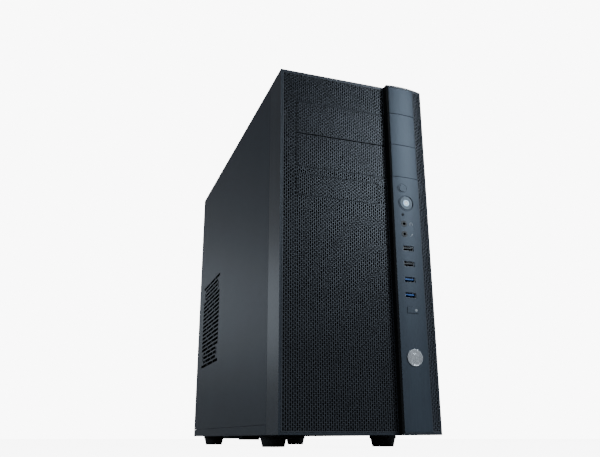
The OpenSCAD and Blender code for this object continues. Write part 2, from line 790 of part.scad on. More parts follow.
module cpu_heatsink() {
    fin_y = [cpu_y - 24, cpu_y + 26];
    fin_z = [cpu_z - 48, cpu_z + 48];
    top = board_x - 7.2;
    color(ZINC) {
        block([top - 14, top], [cpu_y - 20, cpu_y + 20], [cpu_z - 20, cpu_z + 20]);
        for (py = [-12, 12])
            for (pz = [-14, 0, 14])
                bar_x([top - 125, cpu_y + py, cpu_z + pz], 120, 3);
        for (i = [0 : 22])
            block([top - 120 + i * 4, top - 119.4 + i * 4], fin_y, fin_z);
    }
}

// Fan frame about the origin, air along +Y, from y = 0 to fan_d
module fan_frame(w, bore_r) {
    c = fan_corner(w);
    difference() {
        block([-w / 2, w / 2], [0, fan_d], [-w / 2, w / 2]);
        bar_y([0, -eps, 0], fan_d + 2 * eps, bore_r);
        for (sx = [-1, 1])
            for (sz = [-1, 1]) {
                bar_y([sx * c, -eps, sz * c], fan_d + 2 * eps, fan_screw_r + screw_clear);
                // Waist between the two flanges
                block([min(sx * (c - 8), sx * (w / 2 + eps)), max(sx * (c - 8), sx * (w / 2 + eps))],
                      [4, fan_d - 4],
                      [min(sz * (c - 2), sz * (w / 2 + eps)), max(sz * (c - 2), sz * (w / 2 + eps))]);
            }
    }
    // Motor seat on four struts
    bar_y([0, fan_d - 3, 0], 3, 18);
    bar_y([0, 6, 0], fan_d - 6, 1.5);
    intersection() {
        for (turn = [45, 135])
            rotate([0, turn, 0])
                block([-w, w], [fan_d - 3, fan_d], [-2, 2]);
        bar_y([0, 0, 0], fan_d, bore_r + 1);
    }
}

// Rotor about the origin for a duct of radius bore_r; its hub turns on the frame's pin
module fan_rotor(bore_r) {
    tip = bore_r - blade_gap;
    difference() {
        bar_y([0, 3, 0], fan_d - 7, 17);
        bar_y([0, 5, 0], fan_d - 4, 1.56);
    }
    for (i = [0 : blade_count - 1])
        rotate([0, i * 360 / blade_count, 0])
            intersection() {
                translate([15, fan_d / 2, 0])
                    rotate([34, 0, 0])
                        translate([0, -0.9, -13])
                            cube([tip - 15, 1.8, 26]);
                difference() {
                    bar_y([0, 3.5, 0], fan_d - 8, tip);
                    bar_y([0, 3, 0], fan_d - 6, 15);
                }
            }
}

module place_cpu_fan() {
    translate([fin_mid_x, cpu_y - 24 - gap - fan_d, cpu_z])
        children();
}

module place_rear_fan() {
    translate([rear_fan_x, y_wall - fan_d, rear_fan_z])
        children();
}

module place_front_fan() {
    translate([front_fan_x, y_frame - fan_d, front_fan_z])
        children();
}

module cpu_fan_frame() {
    color(BLACK)
    place_cpu_fan()
        fan_frame(rear_fan_w, rear_fan_w / 2 - 2);
}

module cpu_fan_rotor() {
    color(DARK)
    place_cpu_fan()
        fan_rotor(rear_fan_w / 2 - 2);
}

module rear_fan_frame() {
    color(BLACK)
    place_rear_fan()
        fan_frame(rear_fan_w, rear_fan_w / 2 - 2);
}

module rear_fan_rotor() {
    color(DARK)
    place_rear_fan()
        fan_rotor(rear_fan_w / 2 - 2);
}

module front_fan_frame() {
    color(BLACK)
    place_front_fan()
        fan_frame(front_fan_w, front_fan_w / 2 - 2);
}

module front_fan_rotor() {
    color(DARK)
    place_front_fan()
        fan_rotor(front_fan_w / 2 - 2);
}

module memory_modules() {
    color(BOARD)
    for (i = [1, 3]) {
        y = board_y[0] + 25 + i * 9.5;
        block([board_x - 33, board_x - 3.2], [y - 0.6, y + 0.6], [board_top - 144, board_top - 12]);
        for (chip = [0 : 7])
            block([board_x - 24, board_x - 12], [y - 1.6, y + 1.6],
                  [board_top - 140 + chip * 16, board_top - 130 + chip * 16]);
    }
}

module graphics_card() {
    color(BOARD) {
        block([bracket_x[0] + 3, board_x - 12.5], card_y, [card_z - pcb_t / 2, card_z + pcb_t / 2]);
        block([board_x - 13, board_x - 5], [board_y[1] - 146, board_y[1] - 62],
              [card_z - pcb_t / 2, card_z + pcb_t / 2]);
        // Backing of the bracket
        block([bracket_x[0] + 3, board_x - 14], [card_y[1] - 6, y_wall - bracket_t + 0.2],
              [card_z - 4, card_z + 4]);
    }
    color(ZINC)
    bracket(card_slot, slot_pitch + slot_pitch / 2 - 1, slot_pitch / 2 - 1);
}

module graphics_shroud() {
    color(BLACK) {
        difference() {
            block(shroud_x, [card_y[0] + 4, card_y[1] - 14], shroud_z);
            block([shroud_x[0] + 2, shroud_x[1] - 2], [card_y[0] + 6, card_y[1] - 16],
                  [shroud_z[0] + 2, shroud_z[1] + eps]);
            bar_z([gpu_fan[0], gpu_fan[1], shroud_z[0] - eps], 4, gpu_fan_r + blade_gap);
        }
        // Cooler plate across the shroud, and the post on it that carries the fan
        block([shroud_x[0] + 1, shroud_x[1] - 1], [gpu_fan[1] - 45, gpu_fan[1] + 45],
              [shroud_z[1] - 6, shroud_z[1]]);
        bar_z([gpu_fan[0], gpu_fan[1], shroud_z[0] + 5], shroud_h - 5, 1.5);
        bar_z([gpu_fan[0], gpu_fan[1], shroud_z[1] - 9], 9, 14);
    }
}

module graphics_fan_rotor() {
    z0 = shroud_z[0] + 1;
    color(DARK)
    translate([gpu_fan[0], gpu_fan[1], z0]) {
        difference() {
            bar_z([0, 0, 0], 14, 13);
            bar_z([0, 0, 2], 14, 1.56);
        }
        for (i = [0 : 8])
            rotate([0, 0, i * 40])
                intersection() {
                    translate([11, 0, 7])
                        rotate([50, 0, 0])
                            translate([0, -9, -0.7])
                                cube([gpu_fan_r - 11, 18, 1.4]);
                    difference() {
                        bar_z([0, 0, 0.5], 13, gpu_fan_r);
                        bar_z([0, 0, 0], 14, 11);
                    }
                }
    }
}

module psu_housing() {
    inner = psu_wall;
    color(BLACK) {
        difference() {
            block([-psu_w / 2, psu_w / 2], psu_y, psu_z);
            block([-psu_w / 2 + inner, psu_w / 2 - inner], [psu_y[0] + inner, psu_y[1] - inner],
                  [psu_z[0] + inner, psu_z[1] - inner]);
            bar_z([0, psu_fan_y, psu_z[0] - eps], inner + 2 * eps, psu_fan_r + 2);
            // Honeycomb in the rear face
            for (row = [0 : 8])
                for (col = [0 : 9])
                    translate([-psu_w / 2 + 16 + col * 8 + (row % 2) * 4, psu_y[1] + eps, psu_z[0] + 14 + row * 7])
                        rotate([90, 0, 0])
                            cylinder(h = inner + 2 * eps, r = 3.6, $fn = 6);
            // Inlet, switch and lead openings
            block([inlet_x - 13.8, inlet_x + 13.8], [psu_y[1] - inner - eps, psu_y[1] + eps],
                  [inlet_z - 10, inlet_z + 10]);
            block([inlet_x - 7.3, inlet_x + 7.3], [psu_y[1] - inner - eps, psu_y[1] + eps],
                  [switch_z - switch_r - gap, switch_z + switch_r + gap]);
            bar_y([power_start[0], psu_y[0] - eps, power_start[2]], inner + 2 * eps, 9);
            for (s = psu_screws())
                bar_y([s[0], psu_y[1] - inner - eps, s[1]], inner + 2 * eps, screw_r + screw_clear);
        }
        // Stamped grille with the fan's pin
        for (r = [18, 30, 42, 54])
            difference() {
                bar_z([0, psu_fan_y, psu_z[0]], inner, r);
                bar_z([0, psu_fan_y, psu_z[0] - eps], inner + 2 * eps, r - 2.4);
            }
        bar_z([0, psu_fan_y, psu_z[0]], inner, 10);
        bar_z([0, psu_fan_y, psu_z[0] + inner / 2], 12, 1.5);
        intersection() {
            for (turn = [0, 90])
                translate([0, psu_fan_y, 0])
                    rotate([0, 0, turn])
                        block([-psu_fan_r - 6, psu_fan_r + 6], [-1.5, 1.5], [psu_z[0], psu_z[0] + inner]);
            bar_z([0, psu_fan_y, psu_z[0]], inner, psu_fan_r + 3);
        }
    }
}

module psu_fan_rotor() {
    z0 = psu_z[0] + 4;
    color(DARK)
    translate([0, psu_fan_y, z0]) {
        difference() {
            bar_z([0, 0, 0], 18, 18);
            bar_z([0, 0, -eps], 12 + eps, 1.56);
        }
        for (i = [0 : blade_count - 1])
            rotate([0, 0, i * 360 / blade_count])
                intersection() {
                    translate([16, 0, 9])
                        rotate([40, 0, 0])
                            translate([0, -13, -0.9])
                                cube([psu_fan_r - 18, 26, 1.8]);
                    difference() {
                        bar_z([0, 0, 0.5], 17, psu_fan_r - 3);
                        bar_z([0, 0, 0], 18, 16);
                    }
                }
    }
}

module psu_inlet() {
    front = y_wall + 1.6;
    color(BLACK) {
        difference() {
            union() {
                block([inlet_x - 13.6, inlet_x + 13.6], [y_wall - 18, front],
                      [inlet_z - 9.8, inlet_z + 9.8]);
                block([inlet_x - 15.4, inlet_x + 15.4], [y_wall, front], [inlet_z - 11.6, inlet_z + 11.6]);
            }
            block([inlet_x - 12, inlet_x + 12], [y_wall - 16, front + eps], [inlet_z - 8.2, inlet_z + 8.2]);
        }
    }
    color(ZINC)
    for (pin = [[-7, 3.6], [7, 3.6], [0, -0.2]])
        block([inlet_x + pin[0] - 1, inlet_x + pin[0] + 1], [y_wall - 17, y_wall - 1],
              [inlet_z + pin[1] - 2, inlet_z + pin[1] + 2]);
}

// Rocker about its pivot, tilted to the side that is pressed
module psu_switch() {
    face_y = y_wall - switch_y + 0.8;
    color(DARK)
    translate([inlet_x, switch_y, switch_z])
        rotate([-switch_tilt, 0, 0])
            difference() {
                intersection() {
                    bar_x([-7, 0, 0], 14, switch_r);
                    block([-7, 7], [-3, switch_r], [-switch_r, switch_r]);
                }
                // Two tilted faces that meet at the middle
                for (s = [-1, 1])
                    translate([0, face_y, 0])
                        rotate([s * switch_tilt, 0, 0])
                            block([-8, 8], [0, 6], [min(-s * eps, s * 14), max(-s * eps, s * 14)]);
            }
}

// ---------------------------------------------------------------- leads

function unit(v) = v / norm(v);
function curve(a, b, c, d, t) = 0.5 * (2 * b + (c - a) * t + (2 * a - 5 * b + 4 * c - d) * t * t
                                       + (3 * b - a - 3 * c + d) * t * t * t);
function smooth(p, steps) = concat(
    [for (i = [0 : len(p) - 2])
     for (k = [0 : steps - 1])
     curve(p[max(i - 1, 0)], p[i], p[i + 1], p[min(i + 2, len(p) - 1)], k / steps)],
    [p[len(p) - 1]]);
function heading(p, i) = unit(p[min(i + 1, len(p) - 1)] - p[max(i - 1, 0)]);
function carried(t, i, n) = i == len(t) ? [] :
    let (m = unit(n - (n * t[i]) * t[i])) concat([m], carried(t, i + 1, m));

// Round tube of radius r through the points of a route
module lead(route, r, sides, steps) {
    path = smooth(route, steps);
    turns = [for (i = [0 : len(path) - 1]) heading(path, i)];
    side = carried(turns, 0, [0.3, 0.2, 1]);
    rings = [for (i = [0 : len(path) - 1])
             for (k = [0 : sides - 1])
             path[i] + r * (cos(k * 360 / sides) * side[i] + sin(k * 360 / sides) * cross(turns[i], side[i]))];
    last = len(rings) - sides;
    polyhedron(points = rings, faces = concat(
        [[for (k = [0 : sides - 1]) k]],
        [[for (k = [0 : sides - 1]) last + sides - 1 - k]],
        [for (i = [0 : len(path) - 2])
         for (k = [0 : sides - 1])
         [i * sides + k, (i + 1) * sides + k, (i + 1) * sides + (k + 1) % sides,
                          i * sides + (k + 1) % sides]]));
}

module main_power_cable() {
    color(BLACK) {
        lead(power_route, 4.5, 10, 3);
        block([power_plug[0] - 0.2, board_x - 12], [power_plug[1] - 5, power_plug[1] + 5],
              [power_plug_z - 26, power_plug_z + 26]);
    }
}

module front_io_cable() {
    color(BLACK) {
        lead(panel_route, 2.4, 8, 3);
        block([panel_plug[0] - 0.2, board_x - 9], [panel_plug_y - 9, panel_plug_y + 9],
              [board_z[0] + 3, board_z[0] + 9]);
        block([panel_start[0] - plug_half, panel_start[0] + plug_half],
              [panel_start[1] - 12, panel_start[1] + 0.2],
              [lead_z - 4, lead_z + 4]);
    }
}

// ---------------------------------------------------------------- screws

module case_screws() {
    color(ZINC) {
        for (s = psu_screws())
            screw_y([s[0], y_wall + steel_t, s[1]], screw_r, 6);
        for (i = [0 : slot_count - 1])
            if (i != card_slot + 1)
                translate([bracket_x[0], y_wall + 6.3, slot_z(i)])
                    rotate([0, 0, 90])
                        screw_y([0, 0, 0], screw_r, 6);
        for (y = board_hole_y)
            for (z = board_hole_z)
                translate([board_x, board_y[1] - y, board_top - z])
                    rotate([0, 0, 90])
                        screw_y([0, 0, 0], 1.5, 6);
    }
}

module fan_screws() {
    color(BLACK)
    for (sx = [-1, 1])
        for (sz = [-1, 1]) {
            screw_y([rear_fan_x + sx * fan_corner(rear_fan_w), y_wall + steel_t,
                     rear_fan_z + sz * fan_corner(rear_fan_w)],
                    fan_screw_r, 9);
            screw_y([front_fan_x + sx * fan_corner(front_fan_w), y_frame + steel_t,
                     front_fan_z + sz * fan_corner(front_fan_w)], fan_screw_r, 9);
        }
}

// ---------------------------------------------------------------- side panels

// The left side panel without its vent; the right one is its mirror image
module panel_shell() {
    fold = [-half_w, -core - gap];
    difference() {
        union() {
            block([-half_w, -half_w + steel_t], [y_frame, y_end], panel_z);
            block(fold, [y_frame, y_end], [panel_z[0], panel_z[0] + steel_t]);
            block(fold, [y_frame, y_end], [panel_z[1] - steel_t, panel_z[1]]);
            block(fold, [y_frame, y_frame + steel_t], panel_z);
            block([-half_w, -half_w + lip_w], [y_end - steel_t, y_end], panel_z);
        }
        for (upper = [true, false])
            bar_y([-half_w + thumbscrew_inset, y_end - steel_t - eps, thumb_z(upper)], steel_t + 2 * eps,
                  screw_r + 2 * screw_clear);
    }
}

// Upright slot with round ends through the left panel
module screw_slot(y, z) {
    for (s = [-1, 1])
        bar_x([-half_w - eps, y, z + s * 3.6], steel_t + 2 * eps, 2.4);
    block([-half_w - eps, -half_w + steel_t + eps], [y - 2.4, y + 2.4], [z - 3.6, z + 3.6]);
}

module left_panel() {
    cut = [-half_w - eps, -half_w + steel_t + eps];
    bridge = 2.4;
    color(STEEL)
    difference() {
        panel_shell();
        for (row = [0 : vent_rows - 1]) {
            z = vent_z + (row - (vent_rows - 1) / 2) * vent_pitch;
            near_screws = abs(abs(z - vent_z) - vent_screws / 2) < 9.5;
            half = near_screws ? vent_screws / 2 - 5 : vent_w / 2;
            shift = (row % 2) * 16 - 8;
            for (part = [[-half, shift - 21], [shift - 21 + bridge, shift + 21], [shift + 21 + bridge, half]])
                block(cut, [vent_y + part[0], vent_y + part[1]],
                      [z - vent_slot_h / 2, z + vent_slot_h / 2]);
        }
        for (sy = [-1, 1])
            for (sz = [-1, 1])
                screw_slot(vent_y + sy * vent_screws / 2, vent_z + sz * vent_screws / 2);
    }
}

module right_panel() {
    color(STEEL)
    mirror([1, 0, 0])
        panel_shell();
}

// Thumbscrew with a fluted knob, on the axis through the origin
module thumbscrew() {
    face = gap / 3;
    difference() {
        union() {
            bar_y([0, -7, 0], 8, screw_r);
            bar_y([0, face, 0], 2.2, 5);
            bar_y([0, face + 2, 0], knob_proud - face - 2, 6.6);
        }
        for (i = [0 : 13])
            bar_y([6.9 * cos(i * 360 / 14), face + 2 - eps, 6.9 * sin(i * 360 / 14)], knob_proud, 0.75);
        block([-4, 4], [knob_proud - 1.4, knob_proud + eps], [-0.6, 0.6]);
        block([-0.6, 0.6], [knob_proud - 1.4, knob_proud + eps], [-4, 4]);
    }
}

module place_thumbscrew(side, upper) {
    color(BLACK)
    translate([side * (half_w - thumbscrew_inset), y_end, thumb_z(upper)])
        thumbscrew();
}

// ---------------------------------------------------------------- bezel and what rides on it

module front_bezel() {
    rib_back = y_mesh + cover_d + 4;
    color(DARK) {
        // Ring of outer walls, which follows the nose on the right
        difference() {
            union() {
                block([-half_w, half_w], [y_mesh, y_seam], [foot_h, case_h]);
                nose_solid([nose_wall[0], half_w], [foot_h, case_h], 0, y_mesh + eps);
            }
            block([-half_w + bezel_wall, half_w - bezel_wall], [y_mesh - nose_proud - eps, y_seam + eps],
                  bezel_z);
            // Finger recess in the bottom edge
            block([-half_w + 35, -half_w + 95], [y_mesh + 8, y_mesh + 30], [foot_h - eps, foot_h + 1.2]);
        }
        // Step up to the strip, broken by the large bays
        for (z = [[bezel_z[0] - eps, bays_z[0] - gap], [bays_z[1] + gap, bezel_z[1] + eps]])
            nose_solid(nose_wall, z, 0, rib_back);
        // Shelves above and below the large bays, and their side walls
        for (z = [bays_z[0] - gap - 2, bays_z[1] + gap])
            block([-half_w + eps, half_w - eps], [y_mesh + mesh_t, rib_back], [z, z + 2]);
        block([bays_x[0] - gap - 2, bays_x[0] - gap], [y_mesh + mesh_t, rib_back],
              [bays_z[0] - 2, bays_z[1] + 2]);
        nose_solid([bays_x[1] + gap, bays_x[1] + gap + 1.6], [bezel_z[0] - eps, bezel_z[1] + eps],
                   2 * mesh_t, rib_back);
        // Collar around the small bay
        difference() {
            block([small_x[0] - gap - 2, small_x[1] + gap + 2], [y_mesh + mesh_t, rib_back],
                  [small_z[0] - gap - 2, small_z[1] + gap + 2]);
            block([small_x[0] - gap, small_x[1] + gap], [y_mesh, rib_back + eps],
                  [small_z[0] - gap, small_z[1] + gap]);
        }
        block([-half_w + eps, small_x[0]], [y_mesh + mesh_t + 2, rib_back],
              [small_z[0] - gap - 2, small_z[0] - gap]);
        block([small_x[1], nose_wall[0] + eps], [y_mesh + mesh_t + 2, rib_back],
              [small_z[0] - gap - 2, small_z[0] - gap]);
        // Backing of the strip, open where the sockets and buttons pass
        difference() {
            nose_shell([strip_x[0] - eps, half_w - eps], [bezel_z[0] - eps, bays_z[0] - gap], [3, 5]);
            block([strip_x[0] + 2, strip_x[1] - 1], [y_mesh - nose_proud, y_mesh + nose_proud],
                  [fan_button_z - 14, reset_z + 12]);
        }
        nose_shell([strip_x[0] - eps, half_w - eps], [bays_z[1] + gap, bezel_z[1] + eps], [3, 5]);
        // Catches that snap into the chassis
        both_sides()
            for (z = catch_z) {
                block([core - 7, half_w - eps], [y_seam - 4, y_seam], [z - 4, z + 4]);
                block([core - 7, core - 3], [y_seam - eps, y_seam + 8], [z - 4, z + 4]);
            }
        // Posts behind the socket board
        for (z = [io_board_z[0] + 5, io_board_z[1] - 5])
            block([nose_wall[1] - eps, io_board_x[0] + 4], [io_board_y + pcb_t, io_board_y + pcb_t + 3],
                  [z - 3, z + 3]);
    }
}

// Holes through the strip for everything that shows in it
module strip_holes() {
    y0 = y_mesh - nose_proud - eps;
    l = nose_proud + 2 * eps;
    bar_y([control_x, y0, power_z], l, power_r + button_gap);
    bar_y([jack_x, y0, reset_z], l, reset_r + button_gap);
    bar_y([light_x, y0, light_z], l, light_r + 0.1);
    for (z = jack_z)
        bar_y([jack_x, y0, z], l, 4.1);
    for (z = usb_z)
        block([control_x - 7.15, control_x + 7.15], [y0, y0 + l], [z - 3.25, z + 3.25]);
    bar_y([control_x + 0.5, y0, badge_z], nose_front + badge_seat - y0, badge_r + 0.1);
    block([control_x + 1 - fan_button_w / 2 - button_gap, control_x + 1 + fan_button_w / 2 + button_gap],
          [y0, y0 + l],
          [fan_button_z - fan_button_h / 2 - button_gap, fan_button_z + fan_button_h / 2 + button_gap]);
}

module control_strip() {
    color(STRIP)
    difference() {
        nose_shell(strip_x, [bezel_z[0] + gap, bays_z[0] - gap], [0, strip_t]);
        strip_holes();
    }
}

module top_trim() {
    color(STRIP)
    nose_shell(strip_x, [bays_z[1] + gap, bezel_z[1] - gap], [0, strip_t]);
}

module front_mesh() {
    color(BLACK)
    difference() {
        block([-half_w + bezel_wall + gap, nose_wall[0] - gap], [y_mesh, y_mesh + mesh_t],
              [bezel_z[0] + gap, bezel_z[1] - gap]);
        block([bays_x[0] - gap, half_w], [y_mesh - eps, y_mesh + 2 * mesh_t],
              [bays_z[0] - gap, bays_z[1] + gap]);
        block([small_x[0] - gap, small_x[1] + gap], [y_mesh - eps, y_mesh + 2 * mesh_t],
              [small_z[0] - gap, small_z[1] + gap]);
    }
}

module side_mesh() {
    color(BLACK)
    nose_shell([strip_x[1] + gap, half_w - bezel_wall - gap], [bezel_z[0] + gap, bezel_z[1] - gap],
               [0.2, 0.2 + mesh_t]);
}

module front_filter() {
    color("#101114")
    block([-half_w + bezel_wall + 2, nose_wall[0] - 2], [y_mesh + mesh_t, y_mesh + mesh_t + 2],
          [bezel_z[0] + 2, small_z[0] - gap - 4]);
}

// A large bay cover: mesh face, step and strip segment in one tray, open at the back
module bay_cover(index) {
    z = [bays_z[0] + index * bay_pitch + gap / 2, bays_z[0] + (index + 1) * bay_pitch - gap / 2];
    inside = [z[0] + cover_wall, z[1] - cover_wall];
    back = y_mesh + cover_d;
    difference() {
        union() {
            block([bays_x[0], nose_wall[0] + eps], [y_mesh, back], z);
            nose_solid([nose_wall[0], bays_x[1]], z, 0, back);
        }
        block([bays_x[0] + cover_wall, nose_wall[1] + eps], [y_mesh + 2, back + eps], inside);
        nose_solid([nose_wall[1], bays_x[1] - cover_wall], inside, strip_t, back + eps);
    }
}

module upper_bay_cover() {
    color(BLACK)
    bay_cover(1);
}

module lower_bay_cover() {
    color(BLACK)
    bay_cover(0);
}

module small_bay_cover() {
    color(BLACK)
    difference() {
        block(small_x, [y_mesh, y_mesh + cover_d - 4], small_z);
        block([small_x[0] + cover_wall, small_x[1] - cover_wall], [y_mesh + 2, y_mesh + cover_d],
              [small_z[0] + cover_wall, small_z[1] - cover_wall]);
    }
}

module power_button() {
    color(STRIP)
    difference() {
        union() {
            bar_y([control_x, nose_front - 0.8, power_z], 6, power_r);
            bar_y([control_x, nose_front + strip_t + 1.1, power_z], 1.6, power_r + 1.2);
            bar_y([control_x, nose_front + 4, power_z],
                  io_board_y - nose_front - 4 - switch_deep - power_travel - gap, 2.5);
        }
        bar_y([control_x, nose_front - 0.8 - eps, power_z], 2 + eps, lens_r + 0.05);
    }
}

module power_lens() {
    color("#cfe4f2")
    bar_y([control_x, nose_front - 1, power_z], 2.2, lens_r);
}

module reset_button() {
    color(STRIP) {
        bar_y([jack_x, nose_front - 0.6, reset_z], 6, reset_r);
        bar_y([jack_x, nose_front + strip_t + 1.1, reset_z], 1.4, reset_r + 1.2);
        bar_y([jack_x, nose_front + 4, reset_z],
              io_board_y - nose_front - 4 - switch_deep - small_travel - gap, 1.8);
    }
}

module fan_button() {
    x = [control_x + 1 - fan_button_w / 2, control_x + 1 + fan_button_w / 2];
    z = [fan_button_z - fan_button_h / 2, fan_button_z + fan_button_h / 2];
    color(STRIP) {
        block(x, [nose_front - 0.5, nose_front + 5], z);
        block([x[0] - 1, x[1] + 1], [nose_front + strip_t + 1.1, nose_front + strip_t + 2.5],
              z - [0.8, -0.8]);
        bar_y([control_x, nose_front + 4, fan_button_z],
              io_board_y - nose_front - 4 - switch_deep - small_travel - gap, 1.8);
    }
}

module activity_light() {
    color("#dfe3e6")
    bar_y([light_x, nose_front - 0.3, light_z], io_board_y - 2 - nose_front, light_r);
}

module usb_shells() {
    color(ZINC)
    for (z = usb_z)
        difference() {
            block([control_x - usb_w / 2, control_x + usb_w / 2], [io_board_y - usb_d, io_board_y],
                  [z - usb_h / 2, z + usb_h / 2]);
            block([control_x - usb_w / 2 + usb_wall, control_x + usb_w / 2 - usb_wall],
                  [io_board_y - usb_d - eps, io_board_y + eps],
                  [z - usb_h / 2 + usb_wall, z + usb_h / 2 - usb_wall]);
        }
}

module usb_tongue(z) {
    half = usb_w / 2 - usb_wall;
    block([control_x - half, control_x + half], [io_board_y - 2.5, io_board_y],
          [z - usb_h / 2 + usb_wall, z + usb_h / 2 - usb_wall]);
    block([control_x - half + 0.6, control_x + half - 0.6], [io_board_y - usb_d + 1, io_board_y - 2],
          [z + 0.1, z + 1.9]);
}

module usb_tongues() {
    color(BLACK)
    for (i = [0, 1])
        usb_tongue(usb_z[i]);
    color("#1c5fa8")
    for (i = [2, 3])
        usb_tongue(usb_z[i]);
}

module audio_jacks() {
    color(BLACK)
    for (z = jack_z)
        difference() {
            union() {
                bar_y([jack_x, nose_front - 0.2, z], 8, 4);
                block([jack_x - 5, jack_x + 5], [nose_front + 3.4, io_board_y], [z - 4.5, z + 4.5]);
            }
            bar_y([jack_x, nose_front - 0.2 - eps, z], io_board_y - nose_front - 1, jack_r);
        }
}

module front_io_board() {
    color("#1d4a36") {
        difference() {
            block(io_board_x, [io_board_y, io_board_y + pcb_t], io_board_z);
            for (z = usb_z)
                bar_y([control_x, io_board_y - eps, z], pcb_t + 2 * eps, 0.6);
        }
        // Switches, light and the lead's socket
        block([control_x - 4, control_x + 4], [io_board_y - switch_deep, io_board_y],
              [power_z - 4, power_z + 4]);
        block([jack_x - 3, jack_x + 3], [io_board_y - switch_deep, io_board_y], [reset_z - 3, reset_z + 3]);
        block([control_x - 3, control_x + 3], [io_board_y - switch_deep, io_board_y],
              [fan_button_z - 3, fan_button_z + 3]);
        block([light_x - 1.5, light_x + 1.5], [io_board_y - 2, io_board_y], [light_z - 1.5, light_z + 1.5]);
        block([panel_start[0] - plug_half, panel_start[0] + plug_half],
              [io_board_y + pcb_t, panel_start[1] - 12],
              [lead_z - 4, lead_z + 4]);
    }
}

module badge() {
    color("silver")
    bar_y([control_x + 0.5, nose_front - badge_t, badge_z], badge_t + badge_seat, badge_r);
}

// ---------------------------------------------------------------- output

base_pan();
rear_panel();
top_panel();
front_frame();
motherboard_tray();
bay_cage();
drive_cage();
drive_trays();
hard_drive();
feet();
slot_covers();
motherboard();
board_standoffs();
io_shield();
rear_ports();
cpu_heatsink();
cpu_fan_frame();
memory_modules();
graphics_card();
graphics_shroud();
psu_housing();
psu_inlet();
rear_fan_frame();
front_fan_frame();
main_power_cable();
front_io_cable();
case_screws();
fan_screws();
left_panel();
right_panel();
place_thumbscrew(-1, true);  // left_upper_thumbscrew
place_thumbscrew(-1, false);  // left_lower_thumbscrew
place_thumbscrew(1, true);  // right_upper_thumbscrew
place_thumbscrew(1, false);  // right_lower_thumbscrew
rear_fan_rotor();
front_fan_rotor();
cpu_fan_rotor();
psu_fan_rotor();
graphics_fan_rotor();
psu_switch();
psu_dust_filter();
front_bezel();
control_strip();
top_trim();
front_mesh();
side_mesh();
front_filter();
activity_light();
usb_shells();
usb_tongues();
audio_jacks();
front_io_board();
badge();
upper_bay_cover();
lower_bay_cover();
small_bay_cover();
power_button();
power_lens();
reset_button();
fan_button();
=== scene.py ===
"""The looks of a desktop computer tower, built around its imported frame. All lengths are in metres."""

import json
import math

import bpy
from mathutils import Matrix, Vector


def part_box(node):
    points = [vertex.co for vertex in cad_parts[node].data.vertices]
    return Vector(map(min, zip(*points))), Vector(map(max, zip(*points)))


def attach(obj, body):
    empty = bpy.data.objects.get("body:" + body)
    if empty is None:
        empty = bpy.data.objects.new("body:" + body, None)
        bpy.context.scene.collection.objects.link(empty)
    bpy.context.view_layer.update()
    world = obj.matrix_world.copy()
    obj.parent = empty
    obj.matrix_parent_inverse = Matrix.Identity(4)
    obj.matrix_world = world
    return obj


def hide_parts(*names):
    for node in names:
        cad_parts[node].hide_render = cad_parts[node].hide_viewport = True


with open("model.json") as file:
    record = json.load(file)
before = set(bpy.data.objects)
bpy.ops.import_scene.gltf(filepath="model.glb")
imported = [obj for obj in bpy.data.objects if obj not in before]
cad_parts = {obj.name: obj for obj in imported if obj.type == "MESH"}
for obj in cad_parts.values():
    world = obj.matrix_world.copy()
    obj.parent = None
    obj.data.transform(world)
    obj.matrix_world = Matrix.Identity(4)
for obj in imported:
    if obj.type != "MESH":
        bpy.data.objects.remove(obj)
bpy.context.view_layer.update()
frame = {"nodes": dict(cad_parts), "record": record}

bpy.ops.object.select_all(action="DESELECT")

MM = 0.001

# ------------------------------------------------------------------ camera, light and floor

CAMERA_PLACE = (-0.2971, -0.8852, 0.0092)
CAMERA_YAW = 18.91
CAMERA_PITCH = 17.53
CAMERA_LENS = 38.05
CAMERA_SHIFT = (0.0069, 0.0166)


def make_camera():
    """A low camera at the front left, looking up at the tower."""
    data = bpy.data.cameras.new("studio_camera")
    data.lens = CAMERA_LENS
    data.shift_x, data.shift_y = CAMERA_SHIFT
    data.clip_start = 0.01
    camera = bpy.data.objects.new("studio_camera", data)
    bpy.context.scene.collection.objects.link(camera)
    camera.location = CAMERA_PLACE
    camera.rotation_euler = (math.radians(90 + CAMERA_PITCH), 0, math.radians(-CAMERA_YAW))
    bpy.context.scene.camera = camera


def make_softbox(name, place, aim, size, power, color=(1, 1, 1)):
    """A rectangular soft light at a place, aimed at a point."""
    data = bpy.data.lights.new(name, "AREA")
    data.shape = "RECTANGLE"
    data.size, data.size_y = size
    data.energy = power
    data.color = color
    light = bpy.data.objects.new(name, data)
    bpy.context.scene.collection.objects.link(light)
    light.location = place
    light.rotation_euler = (Vector(aim) - Vector(place)).to_track_quat("-Z", "Y").to_euler()


BACKDROP_STRENGTH = 9.0
FLOOR_GLOW = 7.5
FLOOR_SIZE = 60


